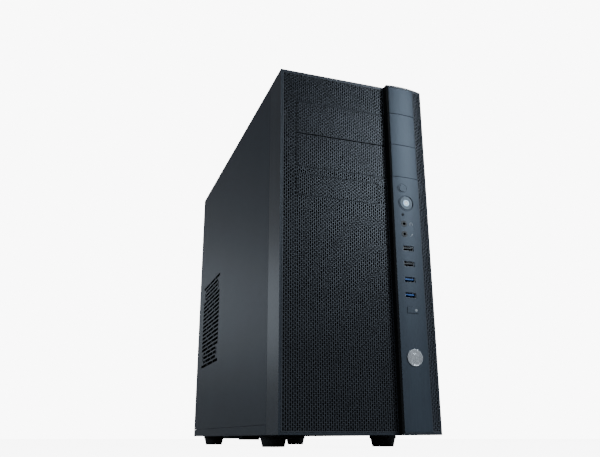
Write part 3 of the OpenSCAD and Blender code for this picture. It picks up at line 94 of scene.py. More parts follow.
def make_world():
    """A pale studio: white behind the object, dimmer where it lights and mirrors in it."""
    world = bpy.data.worlds.new("studio")
    bpy.context.scene.world = world
    world.use_nodes = True
    tree = world.node_tree
    tree.nodes.clear()
    path = tree.nodes.new("ShaderNodeLightPath")
    place = tree.nodes.new("ShaderNodeTexCoord")
    height = tree.nodes.new("ShaderNodeSeparateXYZ")
    ramp = tree.nodes.new("ShaderNodeValToRGB")
    room = tree.nodes.new("ShaderNodeBackground")
    backdrop = tree.nodes.new("ShaderNodeBackground")
    mix = tree.nodes.new("ShaderNodeMixShader")
    out = tree.nodes.new("ShaderNodeOutputWorld")
    tree.links.new(place.outputs["Generated"], height.inputs[0])
    tree.links.new(height.outputs["Z"], ramp.inputs["Fac"])
    tree.links.new(ramp.outputs["Color"], room.inputs["Color"])
    bands = ramp.color_ramp.elements
    bands[0].position, bands[0].color = 0.0, (0.10, 0.11, 0.12, 1)
    bands[1].position, bands[1].color = 1.0, (0.30, 0.32, 0.35, 1)
    for position, tone in ((0.08, 0.16), (0.22, 0.34), (0.45, 0.10)):
        band = bands.new(position)
        band.color = (tone, tone * 1.04, tone * 1.1, 1)
    room.inputs["Strength"].default_value = 1.0
    backdrop.inputs["Color"].default_value = (1, 1, 1, 1)
    backdrop.inputs["Strength"].default_value = BACKDROP_STRENGTH
    tree.links.new(path.outputs["Is Camera Ray"], mix.inputs["Fac"])
    tree.links.new(room.outputs[0], mix.inputs[1])
    tree.links.new(backdrop.outputs[0], mix.inputs[2])
    tree.links.new(mix.outputs[0], out.inputs["Surface"])


def make_floor():
    """A wide pale matt floor, brighter to the camera than to the object."""
    bpy.ops.mesh.primitive_plane_add(size=FLOOR_SIZE, location=(0, 0, -0.0002))
    floor = bpy.context.object
    floor.name = "studio_floor"
    paint = bpy.data.materials.new("studio_floor")
    paint.use_nodes = True
    shader = paint.node_tree.nodes["Principled BSDF"]
    shader.inputs["Base Color"].default_value = (0.62, 0.625, 0.63, 1)
    shader.inputs["Roughness"].default_value = 0.85
    shader.inputs["Emission Color"].default_value = (1, 1, 1, 1)
    path = paint.node_tree.nodes.new("ShaderNodeLightPath")
    glow = paint.node_tree.nodes.new("ShaderNodeMath")
    glow.operation = "MULTIPLY"
    glow.inputs[1].default_value = FLOOR_GLOW
    paint.node_tree.links.new(path.outputs["Is Camera Ray"], glow.inputs[0])
    paint.node_tree.links.new(glow.outputs[0], shader.inputs["Emission Strength"])
    floor.data.materials.append(paint)


make_camera()
make_world()
make_floor()
COOL = (0.76, 0.88, 1.0)
make_softbox("front_right_softbox", (0.78, -1.25, 0.90), (0.03, -0.24, 0.32), (0.55, 0.5), 12, COOL)
make_softbox("left_rear_softbox", (-1.3, 2.6, 0.75), (-0.1, 0.0, 0.22), (1.8, 0.6), 2.7, COOL)
make_softbox("left_softbox", (-2.2, -0.5, 0.60), (-0.1, -0.1, 0.24), (0.9, 0.4), 6, COOL)
make_softbox("top_softbox", (0.0, 0.1, 2.2), (0.0, 0.0, 0.4), (1.4, 1.4), 10, COOL)
bpy.ops.object.select_all(action="DESELECT")

# ------------------------------------------------------------------ sizes taken from the frame

SHEET_LOW, SHEET_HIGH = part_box("front_mesh")
STRIP_LOW, STRIP_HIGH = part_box("control_strip")
BEZEL_LOW, BEZEL_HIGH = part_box("front_bezel")
MESH_Y = SHEET_LOW.y
NOSE_FRONT = BEZEL_LOW.y
NOSE_RADIUS = 110 * MM
NOSE_X = BEZEL_HIGH.x - 36 * MM
NOSE_Y = NOSE_FRONT + NOSE_RADIUS
GAP = 0.3 * MM
STEP_WALL = 2.5 * MM
STRIP_THICKNESS = 2.5 * MM
SHEET_THICKNESS = 1.0 * MM


def nose_y(x, depth=0.0):
    """How far forward the curved nose is at x, at a depth below its surface."""
    radius = NOSE_RADIUS - depth
    return NOSE_Y - math.sqrt(radius * radius - (x - NOSE_X) ** 2)


# ------------------------------------------------------------------ shader groups and finishes


def add(tree, kind, **settings):
    """A shader node; a setting is a property or, with underscores for spaces, an input."""
    made = tree.nodes.new("ShaderNode" + kind)
    for key, value in settings.items():
        name = key.replace("_", " ").title()
        if name in made.inputs:
            made.inputs[name].default_value = value
        else:
            setattr(made, key, value)
    return made


def shader_group(name, inputs, outputs):
    """An empty shader group with its sockets, and its input and output nodes."""
    tree = bpy.data.node_groups.new(name, "ShaderNodeTree")
    for socket, value in inputs.items():
        kind = "NodeSocketVector" if isinstance(value, tuple) else "NodeSocketFloat"
        made = tree.interface.new_socket(socket, in_out="INPUT", socket_type=kind)
        made.default_value = value
    for socket in outputs:
        tree.interface.new_socket(socket, in_out="OUTPUT", socket_type="NodeSocketFloat")
    return tree, tree.nodes.new("NodeGroupInput"), tree.nodes.new("NodeGroupOutput")


def make_grain_group():
    """Fine grain for bumps, and a slow shade that varies over the surface."""
    sizes = {"Grain Size": 0.4, "Shade Size": 60.0}
    tree, ask, give = shader_group("surface_grain", sizes, ("Height", "Shade"))
    place = add(tree, "TexCoord")
    for size, output, detail in (("Grain Size", "Height", 5.0), ("Shade Size", "Shade", 2.0)):
        scale = add(tree, "Math", operation="DIVIDE")
        scale.inputs[0].default_value = 1 / MM
        tree.links.new(ask.outputs[size], scale.inputs[1])
        noise = add(tree, "TexNoise", detail=detail, roughness=0.55)
        tree.links.new(place.outputs["Object"], noise.inputs["Vector"])
        tree.links.new(scale.outputs[0], noise.inputs["Scale"])
        tree.links.new(noise.outputs["Fac"], give.inputs[output])
    return tree


def make_streak_group():
    """Long thin streaks, such as brushing leaves; the stretch is in periods per metre."""
    tree, ask, give = shader_group("brushed_streaks", {"Stretch": (4000.0, 4000.0, 60.0)}, ("Streak",))
    place = add(tree, "TexCoord")
    stretch = add(tree, "VectorMath", operation="MULTIPLY")
    noise = add(tree, "TexNoise", scale=1.0, detail=3.0, roughness=0.6)
    tree.links.new(place.outputs["Object"], stretch.inputs[0])
    tree.links.new(ask.outputs["Stretch"], stretch.inputs[1])
    tree.links.new(stretch.outputs[0], noise.inputs["Vector"])
    tree.links.new(noise.outputs["Fac"], give.inputs["Streak"])
    return tree


GRAIN = make_grain_group()
STREAKS = make_streak_group()


def use_group(tree, group, **values):
    """A group placed in a material with its own values."""
    made = tree.nodes.new("ShaderNodeGroup")
    made.node_tree = group
    for key, value in values.items():
        made.inputs[key.replace("_", " ").title()].default_value = value
    return made


def shades(tree, fac, dark, light):
    """A colour that goes from dark to light with a value."""
    ramp = add(tree, "ValToRGB")
    ramp.color_ramp.elements[0].color = (*dark, 1)
    ramp.color_ramp.elements[0].position = 0.3
    ramp.color_ramp.elements[1].color = (*light, 1)
    ramp.color_ramp.elements[1].position = 0.7
    tree.links.new(fac, ramp.inputs["Fac"])
    return ramp.outputs["Color"]


def spread(tree, fac, low, high):
    """A value moved from 0.3 to 0.7 onto a new range."""
    remap = add(tree, "MapRange")
    remap.inputs["From Min"].default_value = 0.3
    remap.inputs["From Max"].default_value = 0.7
    remap.inputs["To Min"].default_value = low
    remap.inputs["To Max"].default_value = high
    tree.links.new(fac, remap.inputs["Value"])
    return remap.outputs["Result"]


def bump(tree, height, depth, shader):
    """A bump of a given depth that feeds the shader's normal."""
    made = add(tree, "Bump", strength=1.0, distance=depth)
    tree.links.new(height, made.inputs["Height"])
    tree.links.new(made.outputs["Normal"], shader.inputs["Normal"])


def blank(name, metallic=0.0, **sockets):
    """A new material, its tree and its shader, with constant sockets set on the shader."""
    material = bpy.data.materials.new(name)
    material.use_nodes = True
    tree = material.node_tree
    shader = tree.nodes["Principled BSDF"]
    shader.inputs["Metallic"].default_value = metallic
    for key, value in sockets.items():
        shader.inputs[key.replace("_", " ").title().replace("Ior", "IOR")].default_value = value
    return material, tree, shader


def grained(name, dark, light, rough, grain=0.4, depth=0.01, shade=60.0, metallic=0.0, **sockets):
    """A painted, moulded or cast finish: slow shade, fine grain and uneven gloss."""
    material, tree, shader = blank(name, metallic, **sockets)
    effect = use_group(tree, GRAIN, grain_size=grain, shade_size=shade)
    tree.links.new(shades(tree, effect.outputs["Shade"], dark, light), shader.inputs["Base Color"])
    tree.links.new(spread(tree, effect.outputs["Height"], rough[0], rough[1]), shader.inputs["Roughness"])
    bump(tree, effect.outputs["Height"], depth * MM, shader)
    return material


def brushed(name, dark, light, rough, stretch, depth=0.004, metallic=1.0, **sockets):
    """A brushed finish: streaks in its colour, its gloss and its surface."""
    material, tree, shader = blank(name, metallic, **sockets)
    effect = use_group(tree, STREAKS, stretch=stretch)
    tree.links.new(shades(tree, effect.outputs["Streak"], dark, light), shader.inputs["Base Color"])
    tree.links.new(spread(tree, effect.outputs["Streak"], rough[0], rough[1]), shader.inputs["Roughness"])
    bump(tree, effect.outputs["Streak"], depth * MM, shader)
    return material


UPRIGHT = (3000.0, 3000.0, 25.0)
ACROSS = (25.0, 3000.0, 3000.0)
ALONG = (3000.0, 25.0, 3000.0)


def make_circuit_board(name, dark, light, steel_from=None):
    """Solder mask over copper, with fine traces; bare steel behind a given y, as on a card's bracket."""
    material, tree, shader = blank(name, 0.0, coat_weight=0.25, coat_roughness=0.25)
    place = add(tree, "TexCoord")
    traces = add(tree, "TexBrick", scale=420.0, mortar_size=0.03, mortar_smooth=0.2, offset=0.37)
    turn = add(tree, "Mapping")
    turn.inputs["Rotation"].default_value = (math.radians(90), 0, math.radians(90))
    tree.links.new(place.outputs["Object"], turn.inputs["Vector"])
    tree.links.new(turn.outputs["Vector"], traces.inputs["Vector"])
    traces.inputs["Color1"].default_value = (*dark, 1)
    traces.inputs["Color2"].default_value = (*[c * 1.25 for c in dark], 1)
    traces.inputs["Mortar"].default_value = (*light, 1)
    color = traces.outputs["Color"]
    if steel_from is not None:
        depth = add(tree, "SeparateXYZ")
        steel = add(tree, "Math", operation="GREATER_THAN")
        steel.inputs[1].default_value = steel_from
        tree.links.new(place.outputs["Object"], depth.inputs[0])
        tree.links.new(depth.outputs["Y"], steel.inputs[0])
        tree.links.new(steel.outputs[0], shader.inputs["Metallic"])
        effect = use_group(tree, STREAKS, stretch=ACROSS)
        either = add(tree, "MixRGB")
        tree.links.new(steel.outputs[0], either.inputs["Fac"])
        tree.links.new(color, either.inputs["Color1"])
        tree.links.new(shades(tree, effect.outputs["Streak"], (0.50, 0.51, 0.53), (0.60, 0.61, 0.62)),
                       either.inputs["Color2"])
        color = either.outputs["Color"]
    tree.links.new(color, shader.inputs["Base Color"])
    shader.inputs["Roughness"].default_value = 0.38
    bump(tree, traces.outputs["Fac"], 0.03 * MM, shader)
    return material


def make_foam(name):
    """Open black foam with deep pores, darker in their pits: painted shade."""
    material, tree, shader = blank(name, 0.0, roughness=0.95)
    place = add(tree, "TexCoord")
    pores = add(tree, "TexVoronoi", scale=900.0)
    tree.links.new(place.outputs["Object"], pores.inputs["Vector"])
    # Darker where the bump sinks into the pores: painted shade.
    color = shades(tree, pores.outputs["Distance"], (0.001, 0.001, 0.0012), (0.006, 0.006, 0.007))
    tree.links.new(color, shader.inputs["Base Color"])
    bump(tree, pores.outputs["Distance"], 0.5 * MM, shader)
    return material


def make_socket_plastic(name):
    """Tongues of the sockets: black in the upper two, blue in the lower two."""
    material, tree, shader = blank(name, 0.0, roughness=0.42)
    place = add(tree, "TexCoord")
    height = add(tree, "SeparateXYZ")
    split = add(tree, "ValToRGB")
    scale = add(tree, "MapRange")
    low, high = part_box("usb_tongues")
    scale.inputs["From Min"].default_value = low.z
    scale.inputs["From Max"].default_value = high.z
    split.color_ramp.interpolation = "CONSTANT"
    split.color_ramp.elements[0].color = (0.01, 0.11, 0.38, 1)
    split.color_ramp.elements[1].color = (0.014, 0.013, 0.013, 1)
    split.color_ramp.elements[1].position = 0.5
    tree.links.new(place.outputs["Object"], height.inputs[0])
    tree.links.new(height.outputs["Z"], scale.inputs["Value"])
    tree.links.new(scale.outputs["Result"], split.inputs["Fac"])
    tree.links.new(split.outputs["Color"], shader.inputs["Base Color"])
    effect = use_group(tree, GRAIN, grain_size=0.3, shade_size=8.0)
    bump(tree, effect.outputs["Height"], 0.01 * MM, shader)
    return material


def make_lit_lens(name):
    """A frosted lens lit from behind, white in the middle and blue towards its rim."""
    material, tree, shader = blank(name, 0.0, roughness=0.3, emission_strength=0.9)
    low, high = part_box("power_lens")
    centre = (low + high) / 2
    place = add(tree, "TexCoord")
    centred = add(tree, "Mapping")
    centred.inputs["Location"].default_value = (-centre.x, 0, -centre.z)
    centred.inputs["Scale"].default_value = (1, 0, 1)
    distance = add(tree, "VectorMath", operation="LENGTH")
    scale = add(tree, "MapRange")
    scale.inputs["From Max"].default_value = (high.x - low.x) / 2
    glow = add(tree, "ValToRGB")
    glow.color_ramp.elements[0].color = (0.80, 0.93, 1.0, 1)
    glow.color_ramp.elements[1].color = (0.22, 0.42, 0.60, 1)
    glow.color_ramp.elements[0].position = 0.3
    tree.links.new(place.outputs["Object"], centred.inputs["Vector"])
    tree.links.new(centred.outputs["Vector"], distance.inputs[0])
    tree.links.new(distance.outputs["Value"], scale.inputs["Value"])
    tree.links.new(scale.outputs["Result"], glow.inputs["Fac"])
    tree.links.new(glow.outputs["Color"], shader.inputs["Base Color"])
    tree.links.new(glow.outputs["Color"], shader.inputs["Emission Color"])
    return material


def make_braid(name):
    """A woven sleeve: two crossed sets of thin threads, darker where they sink: painted shade."""
    material, tree, shader = blank(name, 0.0, roughness=0.75, sheen_weight=0.2)
    place = add(tree, "TexCoord")
    heights = []
    for slope in (1.0, -1.0):
        wave = add(tree, "TexWave", scale=260.0, distortion=0.0)
        turn = add(tree, "Mapping")
        turn.inputs["Rotation"].default_value = (slope * 0.6, slope * 0.6, slope * 0.8)
        tree.links.new(place.outputs["Object"], turn.inputs["Vector"])
        tree.links.new(turn.outputs["Vector"], wave.inputs["Vector"])
        heights.append(wave.outputs["Fac"])
    cross = add(tree, "Math", operation="MAXIMUM")
    tree.links.new(heights[0], cross.inputs[0])
    tree.links.new(heights[1], cross.inputs[1])
    # Darker in the gaps between the threads: painted shade.
    color = shades(tree, cross.outputs[0], (0.004, 0.004, 0.004), (0.03, 0.03, 0.032))
    tree.links.new(color, shader.inputs["Base Color"])
    bump(tree, cross.outputs[0], 0.15 * MM, shader)
    return material


FINISHES = {
    "panel_paint": grained(
        "panel_paint", (0.019, 0.0255, 0.036), (0.023, 0.0305, 0.042), (0.42, 0.52), grain=0.35,
        depth=0.006, shade=90.0, specular_ior_level=0.4
    ),
    "chassis_paint": grained(
        "chassis_paint", (0.010, 0.0105, 0.012), (0.014, 0.0145, 0.016), (0.38, 0.5), grain=0.3,
        depth=0.006, shade=50.0
    ),
    "zinc_steel": brushed("zinc_steel", (0.50, 0.51, 0.53), (0.60, 0.61, 0.62), (0.28, 0.42), ACROSS),
    "port_metal": brushed(
        "port_metal", (0.42, 0.42, 0.43), (0.56, 0.56, 0.56), (0.22, 0.34), ALONG, depth=0.002
    ),
    "foot_rubber": grained(
        "foot_rubber", (0.0065, 0.0065, 0.007), (0.010, 0.010, 0.0105), (0.62, 0.8), grain=0.5,
        depth=0.02, shade=9.0
    ),
    "black_plastic": grained(
        "black_plastic", (0.008, 0.008, 0.009), (0.012, 0.012, 0.013), (0.42, 0.55), grain=0.4,
        depth=0.012, shade=30.0
    ),
    "blade_plastic": grained(
        "blade_plastic", (0.010, 0.010, 0.011), (0.015, 0.015, 0.017), (0.32, 0.42), grain=0.5,
        depth=0.008, shade=20.0
    ),
    "drive_alloy": grained(
        "drive_alloy", (0.32, 0.33, 0.34), (0.40, 0.41, 0.42), (0.38, 0.52), grain=0.5, depth=0.015,
        shade=25.0, metallic=0.9
    ),
    "cooler_alloy": brushed("cooler_alloy", (0.55, 0.56, 0.58), (0.68, 0.69, 0.70), (0.25, 0.38), ALONG),
    "circuit_board": make_circuit_board("circuit_board", (0.004, 0.016, 0.013), (0.012, 0.042, 0.032)),
    "card_board": make_circuit_board(
        "card_board", (0.004, 0.016, 0.013), (0.012, 0.042, 0.032),
        steel_from=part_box("slot_covers")[0].y - 0.1 * MM
    ),
    "panel_board": make_circuit_board("panel_board", (0.006, 0.010, 0.020), (0.014, 0.024, 0.042)),
    "standoff_brass": brushed(
        "standoff_brass", (0.56, 0.40, 0.16), (0.68, 0.50, 0.22), (0.24, 0.36), ACROSS
    ),
    "lead_sleeve": make_braid("lead_sleeve"),
    "black_screw": grained(
        "black_screw", (0.020, 0.020, 0.022), (0.032, 0.032, 0.034), (0.30, 0.42), grain=0.3,
        depth=0.006, shade=4.0, metallic=0.85
    ),
    "bezel_plastic": grained(
        "bezel_plastic", (0.017, 0.0225, 0.031), (0.022, 0.0285, 0.039), (0.31, 0.41), grain=0.45,
        depth=0.010, shade=80.0
    ),
    "strip_finish": brushed(
        "strip_finish", (0.034, 0.0455, 0.060), (0.047, 0.061, 0.078), (0.40, 0.50), UPRIGHT,
        depth=0.003, metallic=0.4
    ),
    "mesh_paint": grained(
        "mesh_paint", (0.036, 0.039, 0.046), (0.050, 0.054, 0.063), (0.30, 0.42), grain=0.3,
        depth=0.006, shade=40.0, metallic=0.2
    ),
    "filter_foam": make_foam("filter_foam"),
    "clear_light": make_lit_lens("clear_light"),
    "light_plastic": grained(
        "light_plastic", (0.010, 0.012, 0.014), (0.018, 0.020, 0.023), (0.55, 0.65), grain=0.3,
        depth=0.003, shade=2.0, specular_ior_level=0.2
    ),
    "socket_plastic": make_socket_plastic("socket_plastic"),
    "badge_metal": brushed(
        "badge_metal", (0.62, 0.64, 0.66), (0.76, 0.77, 0.78), (0.2, 0.32), UPRIGHT, depth=0.002
    ),
    # Painted shade: the port metal darkened for the front sockets, which lie in shadow in their recesses.
    "painted_shade_port_metal": brushed(
        "painted_shade_port_metal", (0.10, 0.10, 0.105), (0.16, 0.16, 0.165), (0.34, 0.46), ALONG, depth=0.002
    ),
    # Painted light: a lighter copy of the mesh paint for the side sheet, which faces more of the light.
    "painted_light_mesh_paint": grained(
        "painted_light_mesh_paint", (0.062, 0.067, 0.078), (0.082, 0.088, 0.102), (0.34, 0.46), grain=0.3,
        depth=0.006, shade=40.0, metallic=0.2
    ),
    # Painted shade: a dead black for steps, seams, gaps and hollows that lie in shadow.
    "painted_shadow_black": grained(
        "painted_shadow_black", (0.0018, 0.0018, 0.002), (0.003, 0.003, 0.0033), (0.62, 0.74), grain=0.4,
        depth=0.012, shade=30.0, specular_ior_level=0.12
    ),
    # Painted light: the power button's rim coloured lighter and bluer, as though lit.
    "painted_light_rim": grained(
        "painted_light_rim", (0.10, 0.135, 0.17), (0.13, 0.17, 0.21), (0.40, 0.50), grain=0.4, depth=0.006,
        shade=6.0
    ),
    "print_ink": grained(
        "print_ink", (0.30, 0.31, 0.325), (0.36, 0.375, 0.39), (0.5, 0.6), grain=0.2, depth=0.002,
        shade=3.0
    ),
}

NODE_SLOTS = {entry["node"]: entry["material_slot"] for entry in frame["record"]["subparts"]}
BODY_OF = {node: body for body, nodes in frame["record"]["behaviour"]["bodies"].items() for node in nodes}

for node_name, node_object in frame["nodes"].items():
    node_object.data.materials.clear()
    node_object.data.materials.append(FINISHES[NODE_SLOTS[node_name]])
frame["nodes"]["graphics_card"].data.materials[0] = FINISHES["card_board"]

# ------------------------------------------------------------------ modelling helpers


def only(piece):
    """Makes a piece the only selected and the active one."""
    bpy.ops.object.select_all(action="DESELECT")
    piece.select_set(True)
    bpy.context.view_layer.objects.active = piece


def edit(piece, mode="FACE"):
    """Enters edit mode on one piece with nothing selected."""
    only(piece)
    bpy.ops.object.mode_set(mode="EDIT")
    bpy.ops.mesh.select_mode(type=mode)
    bpy.ops.mesh.select_all(action="DESELECT")


def leave():
    """Goes back to object mode."""
    bpy.ops.object.mode_set(mode="OBJECT")


def pick_faces(piece, test):
    """In edit mode, selects the faces whose centre and normal pass a test."""
    leave()
    for face in piece.data.polygons:
        face.select = test(face.center, face.normal)
    bpy.ops.object.mode_set(mode="EDIT")


def pick_edges(piece, test):
    """In edit mode, selects the edges whose two ends both pass a test."""
    leave()
    points = piece.data.vertices
    for edge in piece.data.edges:
        edge.select = all(test(points[v].co) for v in edge.vertices)
    bpy.ops.object.mode_set(mode="EDIT")


def apply(piece, kind, **settings):
    """Adds a modifier with its settings and applies it."""
    only(piece)
    modifier = piece.modifiers.new(kind.lower(), kind)
    for key, value in settings.items():
        setattr(modifier, key, value)
    bpy.ops.object.modifier_apply(modifier=modifier.name)


SMOOTH_ANGLE = 40
NEAR = 0.01 * MM
WELD = 0.000002


def soften(piece, width, segments=2, angle=35):
    """Rounds the edges of a piece and smooths its shading between them."""
    apply(piece, "BEVEL", width=width, segments=segments, limit_method="ANGLE",
          angle_limit=math.radians(angle), use_clamp_overlap=True, harden_normals=False)
    only(piece)
    bpy.ops.object.shade_smooth_by_angle(angle=math.radians(SMOOTH_ANGLE))
    apply(piece, "WEIGHTED_NORMAL", mode="FACE_AREA", weight=80, keep_sharp=True)


def settle(piece, name, body, slot, *replaced, finish=None):
    """Names a finished piece, gives it its finish and lets it ride on its body."""
    piece.name = name
    piece.data.name = name
    piece.data.materials.clear()
    piece.data.materials.append(FINISHES[finish or slot])
    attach(piece, body)
    if replaced:
        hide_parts(*replaced)
    bpy.ops.object.select_all(action="DESELECT")


def baked_place():
    """Applies the active object's place, turn and scale to its mesh."""
    bpy.ops.object.transform_apply(location=True, rotation=True, scale=True)


def solid_box(low, high):
    """A box between two corners, to be shaped further."""
    middle = [(a + b) / 2 for a, b in zip(low, high)]
    bpy.ops.mesh.primitive_cube_add(size=1, location=middle)
    piece = bpy.context.object
    piece.scale = [b - a for a, b in zip(low, high)]
    baked_place()
    return piece


def solid_round(place, radius, length, sides=48):
    """A round bar along Y from its front end, to be shaped further."""
    middle = (place[0], place[1] + length / 2, place[2])
    bpy.ops.mesh.primitive_cylinder_add(vertices=sides, radius=radius, depth=length, location=middle,
                                        rotation=(math.radians(90), 0, 0))
    baked_place()
    return bpy.context.object


def joined(pieces):
    """Joins pieces into the first one."""
    bpy.ops.object.select_all(action="DESELECT")
    for piece in pieces:
        piece.select_set(True)
    bpy.context.view_layer.objects.active = pieces[0]
    bpy.ops.object.join()
    return pieces[0]


def merged(piece, distance=0.00001):
    """Merges the points of a piece that lie together."""
    edit(piece, "VERT")
    bpy.ops.mesh.select_all(action="SELECT")
    bpy.ops.mesh.remove_doubles(threshold=distance)
    leave()
    return piece


def softened_copy(node, width, segments=2, angle=35, flat=0.5, finish=None):
    """A copy of a CAD node with rounded edges, which replaces it."""
    source = frame["nodes"][node]
    piece = bpy.data.objects.new(node + "_finished", source.data.copy())
    bpy.context.scene.collection.objects.link(piece)
    only(piece)
    if piece.data.has_custom_normals:
        bpy.ops.mesh.customdata_custom_splitnormals_clear()
    edit(piece, "VERT")
    bpy.ops.mesh.select_all(action="SELECT")
    bpy.ops.mesh.remove_doubles(threshold=WELD)
    bpy.ops.mesh.dissolve_limited(angle_limit=math.radians(flat))
    leave()
    soften(piece, width, segments, angle)
    settle(piece, node + "_finished", BODY_OF[node], NODE_SLOTS[node], node, finish=finish)


# ------------------------------------------------------------------ perforated sheets

HOLE_PITCH_X = 2.6 * MM
HOLE_PITCH_Z = 4.5 * MM
HOLE_BAR = 0.72 * MM


def hole_cell(place, width, height, halves):
    """A ring of sheet around one upright slot, facing forward, with its lower left corner at a place."""
    bpy.ops.mesh.primitive_grid_add(x_subdivisions=1, y_subdivisions=halves, size=1,
                                    location=(place[0] + width / 2, 0, place[1] + height / 2),
                                    rotation=(math.radians(90), 0, 0))
    cell = bpy.context.object
    cell.scale = (width, height, 1)
    baked_place()
    edit(cell)
    bpy.ops.mesh.select_all(action="SELECT")
    bpy.ops.mesh.inset(thickness=HOLE_BAR / 2, use_boundary=True, use_even_offset=True)
    bpy.ops.mesh.delete(type="FACE")
    leave()
    return cell


def repeat(piece, count, step):
    """Repeats a piece along a step."""
    if count > 1:
        apply(piece, "ARRAY", count=count, use_relative_offset=False, use_constant_offset=True,
              constant_offset_displace=step)


def widen(piece, axis, at, distance):
    """Adds a plain margin to a flat sheet by extruding its outer edges at one side."""
    if abs(distance) < NEAR:
        return
    edit(piece, "EDGE")
    pick_edges(piece, lambda point: abs(point[axis] - at) < NEAR)
    move = [0, 0, 0]
    move[axis] = distance
    bpy.ops.mesh.extrude_edges_move(TRANSFORM_OT_translate={"value": move})
    leave()


def perforated_block(x, z, margins):
    """A flat block of staggered slots over x and z; margins are its plain edges, left first, in mm."""
    left, right, bottom, top = [m * MM for m in margins]
    inner_x = (x[0] + left, x[1] - right)
    inner_z = (z[0] + bottom, z[1] - top)
    columns = max(1, round((inner_x[1] - inner_x[0]) / HOLE_PITCH_X))
    rows = max(1, round((inner_z[1] - inner_z[0]) / HOLE_PITCH_Z))
    pitch_x = (inner_x[1] - inner_x[0]) / columns
    pitch_z = (inner_z[1] - inner_z[0]) / rows
    even = hole_cell((inner_x[0], inner_z[0]), pitch_x, pitch_z, 2)
    repeat(even, rows, (0, 0, pitch_z))
    odd_x = inner_x[0] + pitch_x
    ends = [hole_cell((odd_x, low), pitch_x, pitch_z / 2, 1)
            for low in (inner_z[0], inner_z[1] - pitch_z / 2)]
    if rows > 1:
        odd = hole_cell((odd_x, inner_z[0] + pitch_z / 2), pitch_x, pitch_z, 2)
        repeat(odd, rows - 1, (0, 0, pitch_z))
        ends.append(odd)
    parts = []
    if columns % 2:
        last = hole_cell((inner_x[1] - pitch_x, inner_z[0]), pitch_x, pitch_z, 2)
        repeat(last, rows, (0, 0, pitch_z))
        parts.append(last)
    pair = joined([even] + ends)
    repeat(pair, columns // 2, (2 * pitch_x, 0, 0))
    block = merged(joined([pair] + parts))
    widen(block, 0, inner_x[0], -left)
    widen(block, 0, inner_x[1], right)
    widen(block, 2, inner_z[0], -bottom)
    widen(block, 2, inner_z[1], top)
    return block


def sheet_of(blocks, y, thickness, bend=None):
    """Joins flat blocks, sets or bends them to their front plane and gives them their thickness."""
    sheet = merged(joined(blocks))
    for point in sheet.data.vertices:
        point.co.y = bend(point.co.x) if bend else y
    apply(sheet, "SOLIDIFY", thickness=thickness, offset=-1, use_even_offset=False)
    return sheet


def make_front_mesh():
    """The large sheet of the front, open where the bay covers sit."""
    bay_low, bay_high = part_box("lower_bay_cover")[0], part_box("upper_bay_cover")[1]
    small_low, small_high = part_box("small_bay_cover")
    left, right = SHEET_LOW.x, SHEET_HIGH.x
    window = bay_low.x - GAP
    small_right = small_high.x + GAP
    small_z = (small_low.z - GAP, small_high.z + GAP)
    bays_z = (bay_low.z - GAP, bay_high.z + GAP)
    blocks = [
        perforated_block((left, window), (SHEET_LOW.z, SHEET_HIGH.z), (1.1, 0, 0.8, 0.8)),
        perforated_block((window, right), (SHEET_LOW.z, small_z[0]), (0, 0.6, 0.8, 0)),
        perforated_block((small_right, right), small_z, (0, 0.6, 0, 0)),
        perforated_block((window, right), (small_z[1], bays_z[0]), (0, 0.6, 0, 0)),
        perforated_block((window, right), (bays_z[1], SHEET_HIGH.z), (0, 0.6, 0, 0.8)),
    ]
    sheet = sheet_of(blocks, MESH_Y, SHEET_THICKNESS)
    settle(sheet, "front_mesh_sheet", "front_bezel", "mesh_paint", "front_mesh")


def make_side_mesh():
    """The narrow curved sheet to the right of the strip, in a lighter copy of the mesh paint: painted
    light.
    """
    low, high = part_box("side_mesh")
    block = perforated_block((low.x, high.x), (low.z, high.z), (0.3, 0.3, 0.8, 0.8))
    sheet = sheet_of([block], 0, SHEET_THICKNESS, bend=lambda x: nose_y(x, 0.2 * MM))
    settle(sheet, "side_mesh_sheet", "front_bezel", "mesh_paint", "side_mesh", finish="painted_light_mesh_paint")


make_front_mesh()
make_side_mesh()

# ------------------------------------------------------------------ bay covers

COVER_WALL = 1.5 * MM
TRAY_WALL = 0.5 * MM
COVER_SEAM = 0.85 * MM
FOAM_THICKNESS = 3.0 * MM
FOAM_INSET = 0.8 * MM
FOAM_GAP = 0.05 * MM


def cover_tray(low, high):
    """The box of a cover behind its sheet: open at the back, with thin walls."""
    tray = solid_box((low.x, MESH_Y + SHEET_THICKNESS, low.z), high)
    edit(tray)
    pick_faces(tray, lambda centre, normal: abs(normal.y) > 0.5)
    bpy.ops.mesh.delete(type="FACE")
    leave()
    apply(tray, "SOLIDIFY", thickness=TRAY_WALL, offset=-1, use_even_offset=True)
    return tray


def cover_sheet(name, low, high, body, *replaced):
    """The perforated front of a cover, inside the edges of its tray."""
    x = (low.x + COVER_SEAM, high.x - COVER_SEAM)
    z = (low.z + COVER_SEAM, high.z - COVER_SEAM)
    block = perforated_block(x, z, (0, 0, 0, 0))
    sheet = sheet_of([block], MESH_Y, SHEET_THICKNESS)
    settle(sheet, name, body, "mesh_paint", *replaced)


def cover_foam(name, low, high, body):
    """A foam pad behind a perforated front, with a soft crowned edge."""
    behind = MESH_Y + SHEET_THICKNESS
    pad = solid_box((low.x + FOAM_INSET, behind + FOAM_GAP, low.z + FOAM_INSET),
                    (high.x - FOAM_INSET, behind + FOAM_THICKNESS, high.z - FOAM_INSET))
    soften(pad, 0.6 * MM)
    settle(pad, name, body, "filter_foam")


def strip_plate(x, z):
    """A curved plate that follows the nose, with rounded edges."""
    bpy.ops.mesh.primitive_grid_add(x_subdivisions=20, y_subdivisions=1, size=1,
                                    location=((x[0] + x[1]) / 2, 0, (z[0] + z[1]) / 2),
                                    rotation=(math.radians(90), 0, 0))
    plate = bpy.context.object
    plate.scale = (x[1] - x[0], z[1] - z[0], 1)
    baked_place()
    for point in plate.data.vertices:
        point.co.y = nose_y(point.co.x)
    apply(plate, "SOLIDIFY", thickness=STRIP_THICKNESS, offset=-1)
    soften(plate, 0.35 * MM, 3)
    return plate


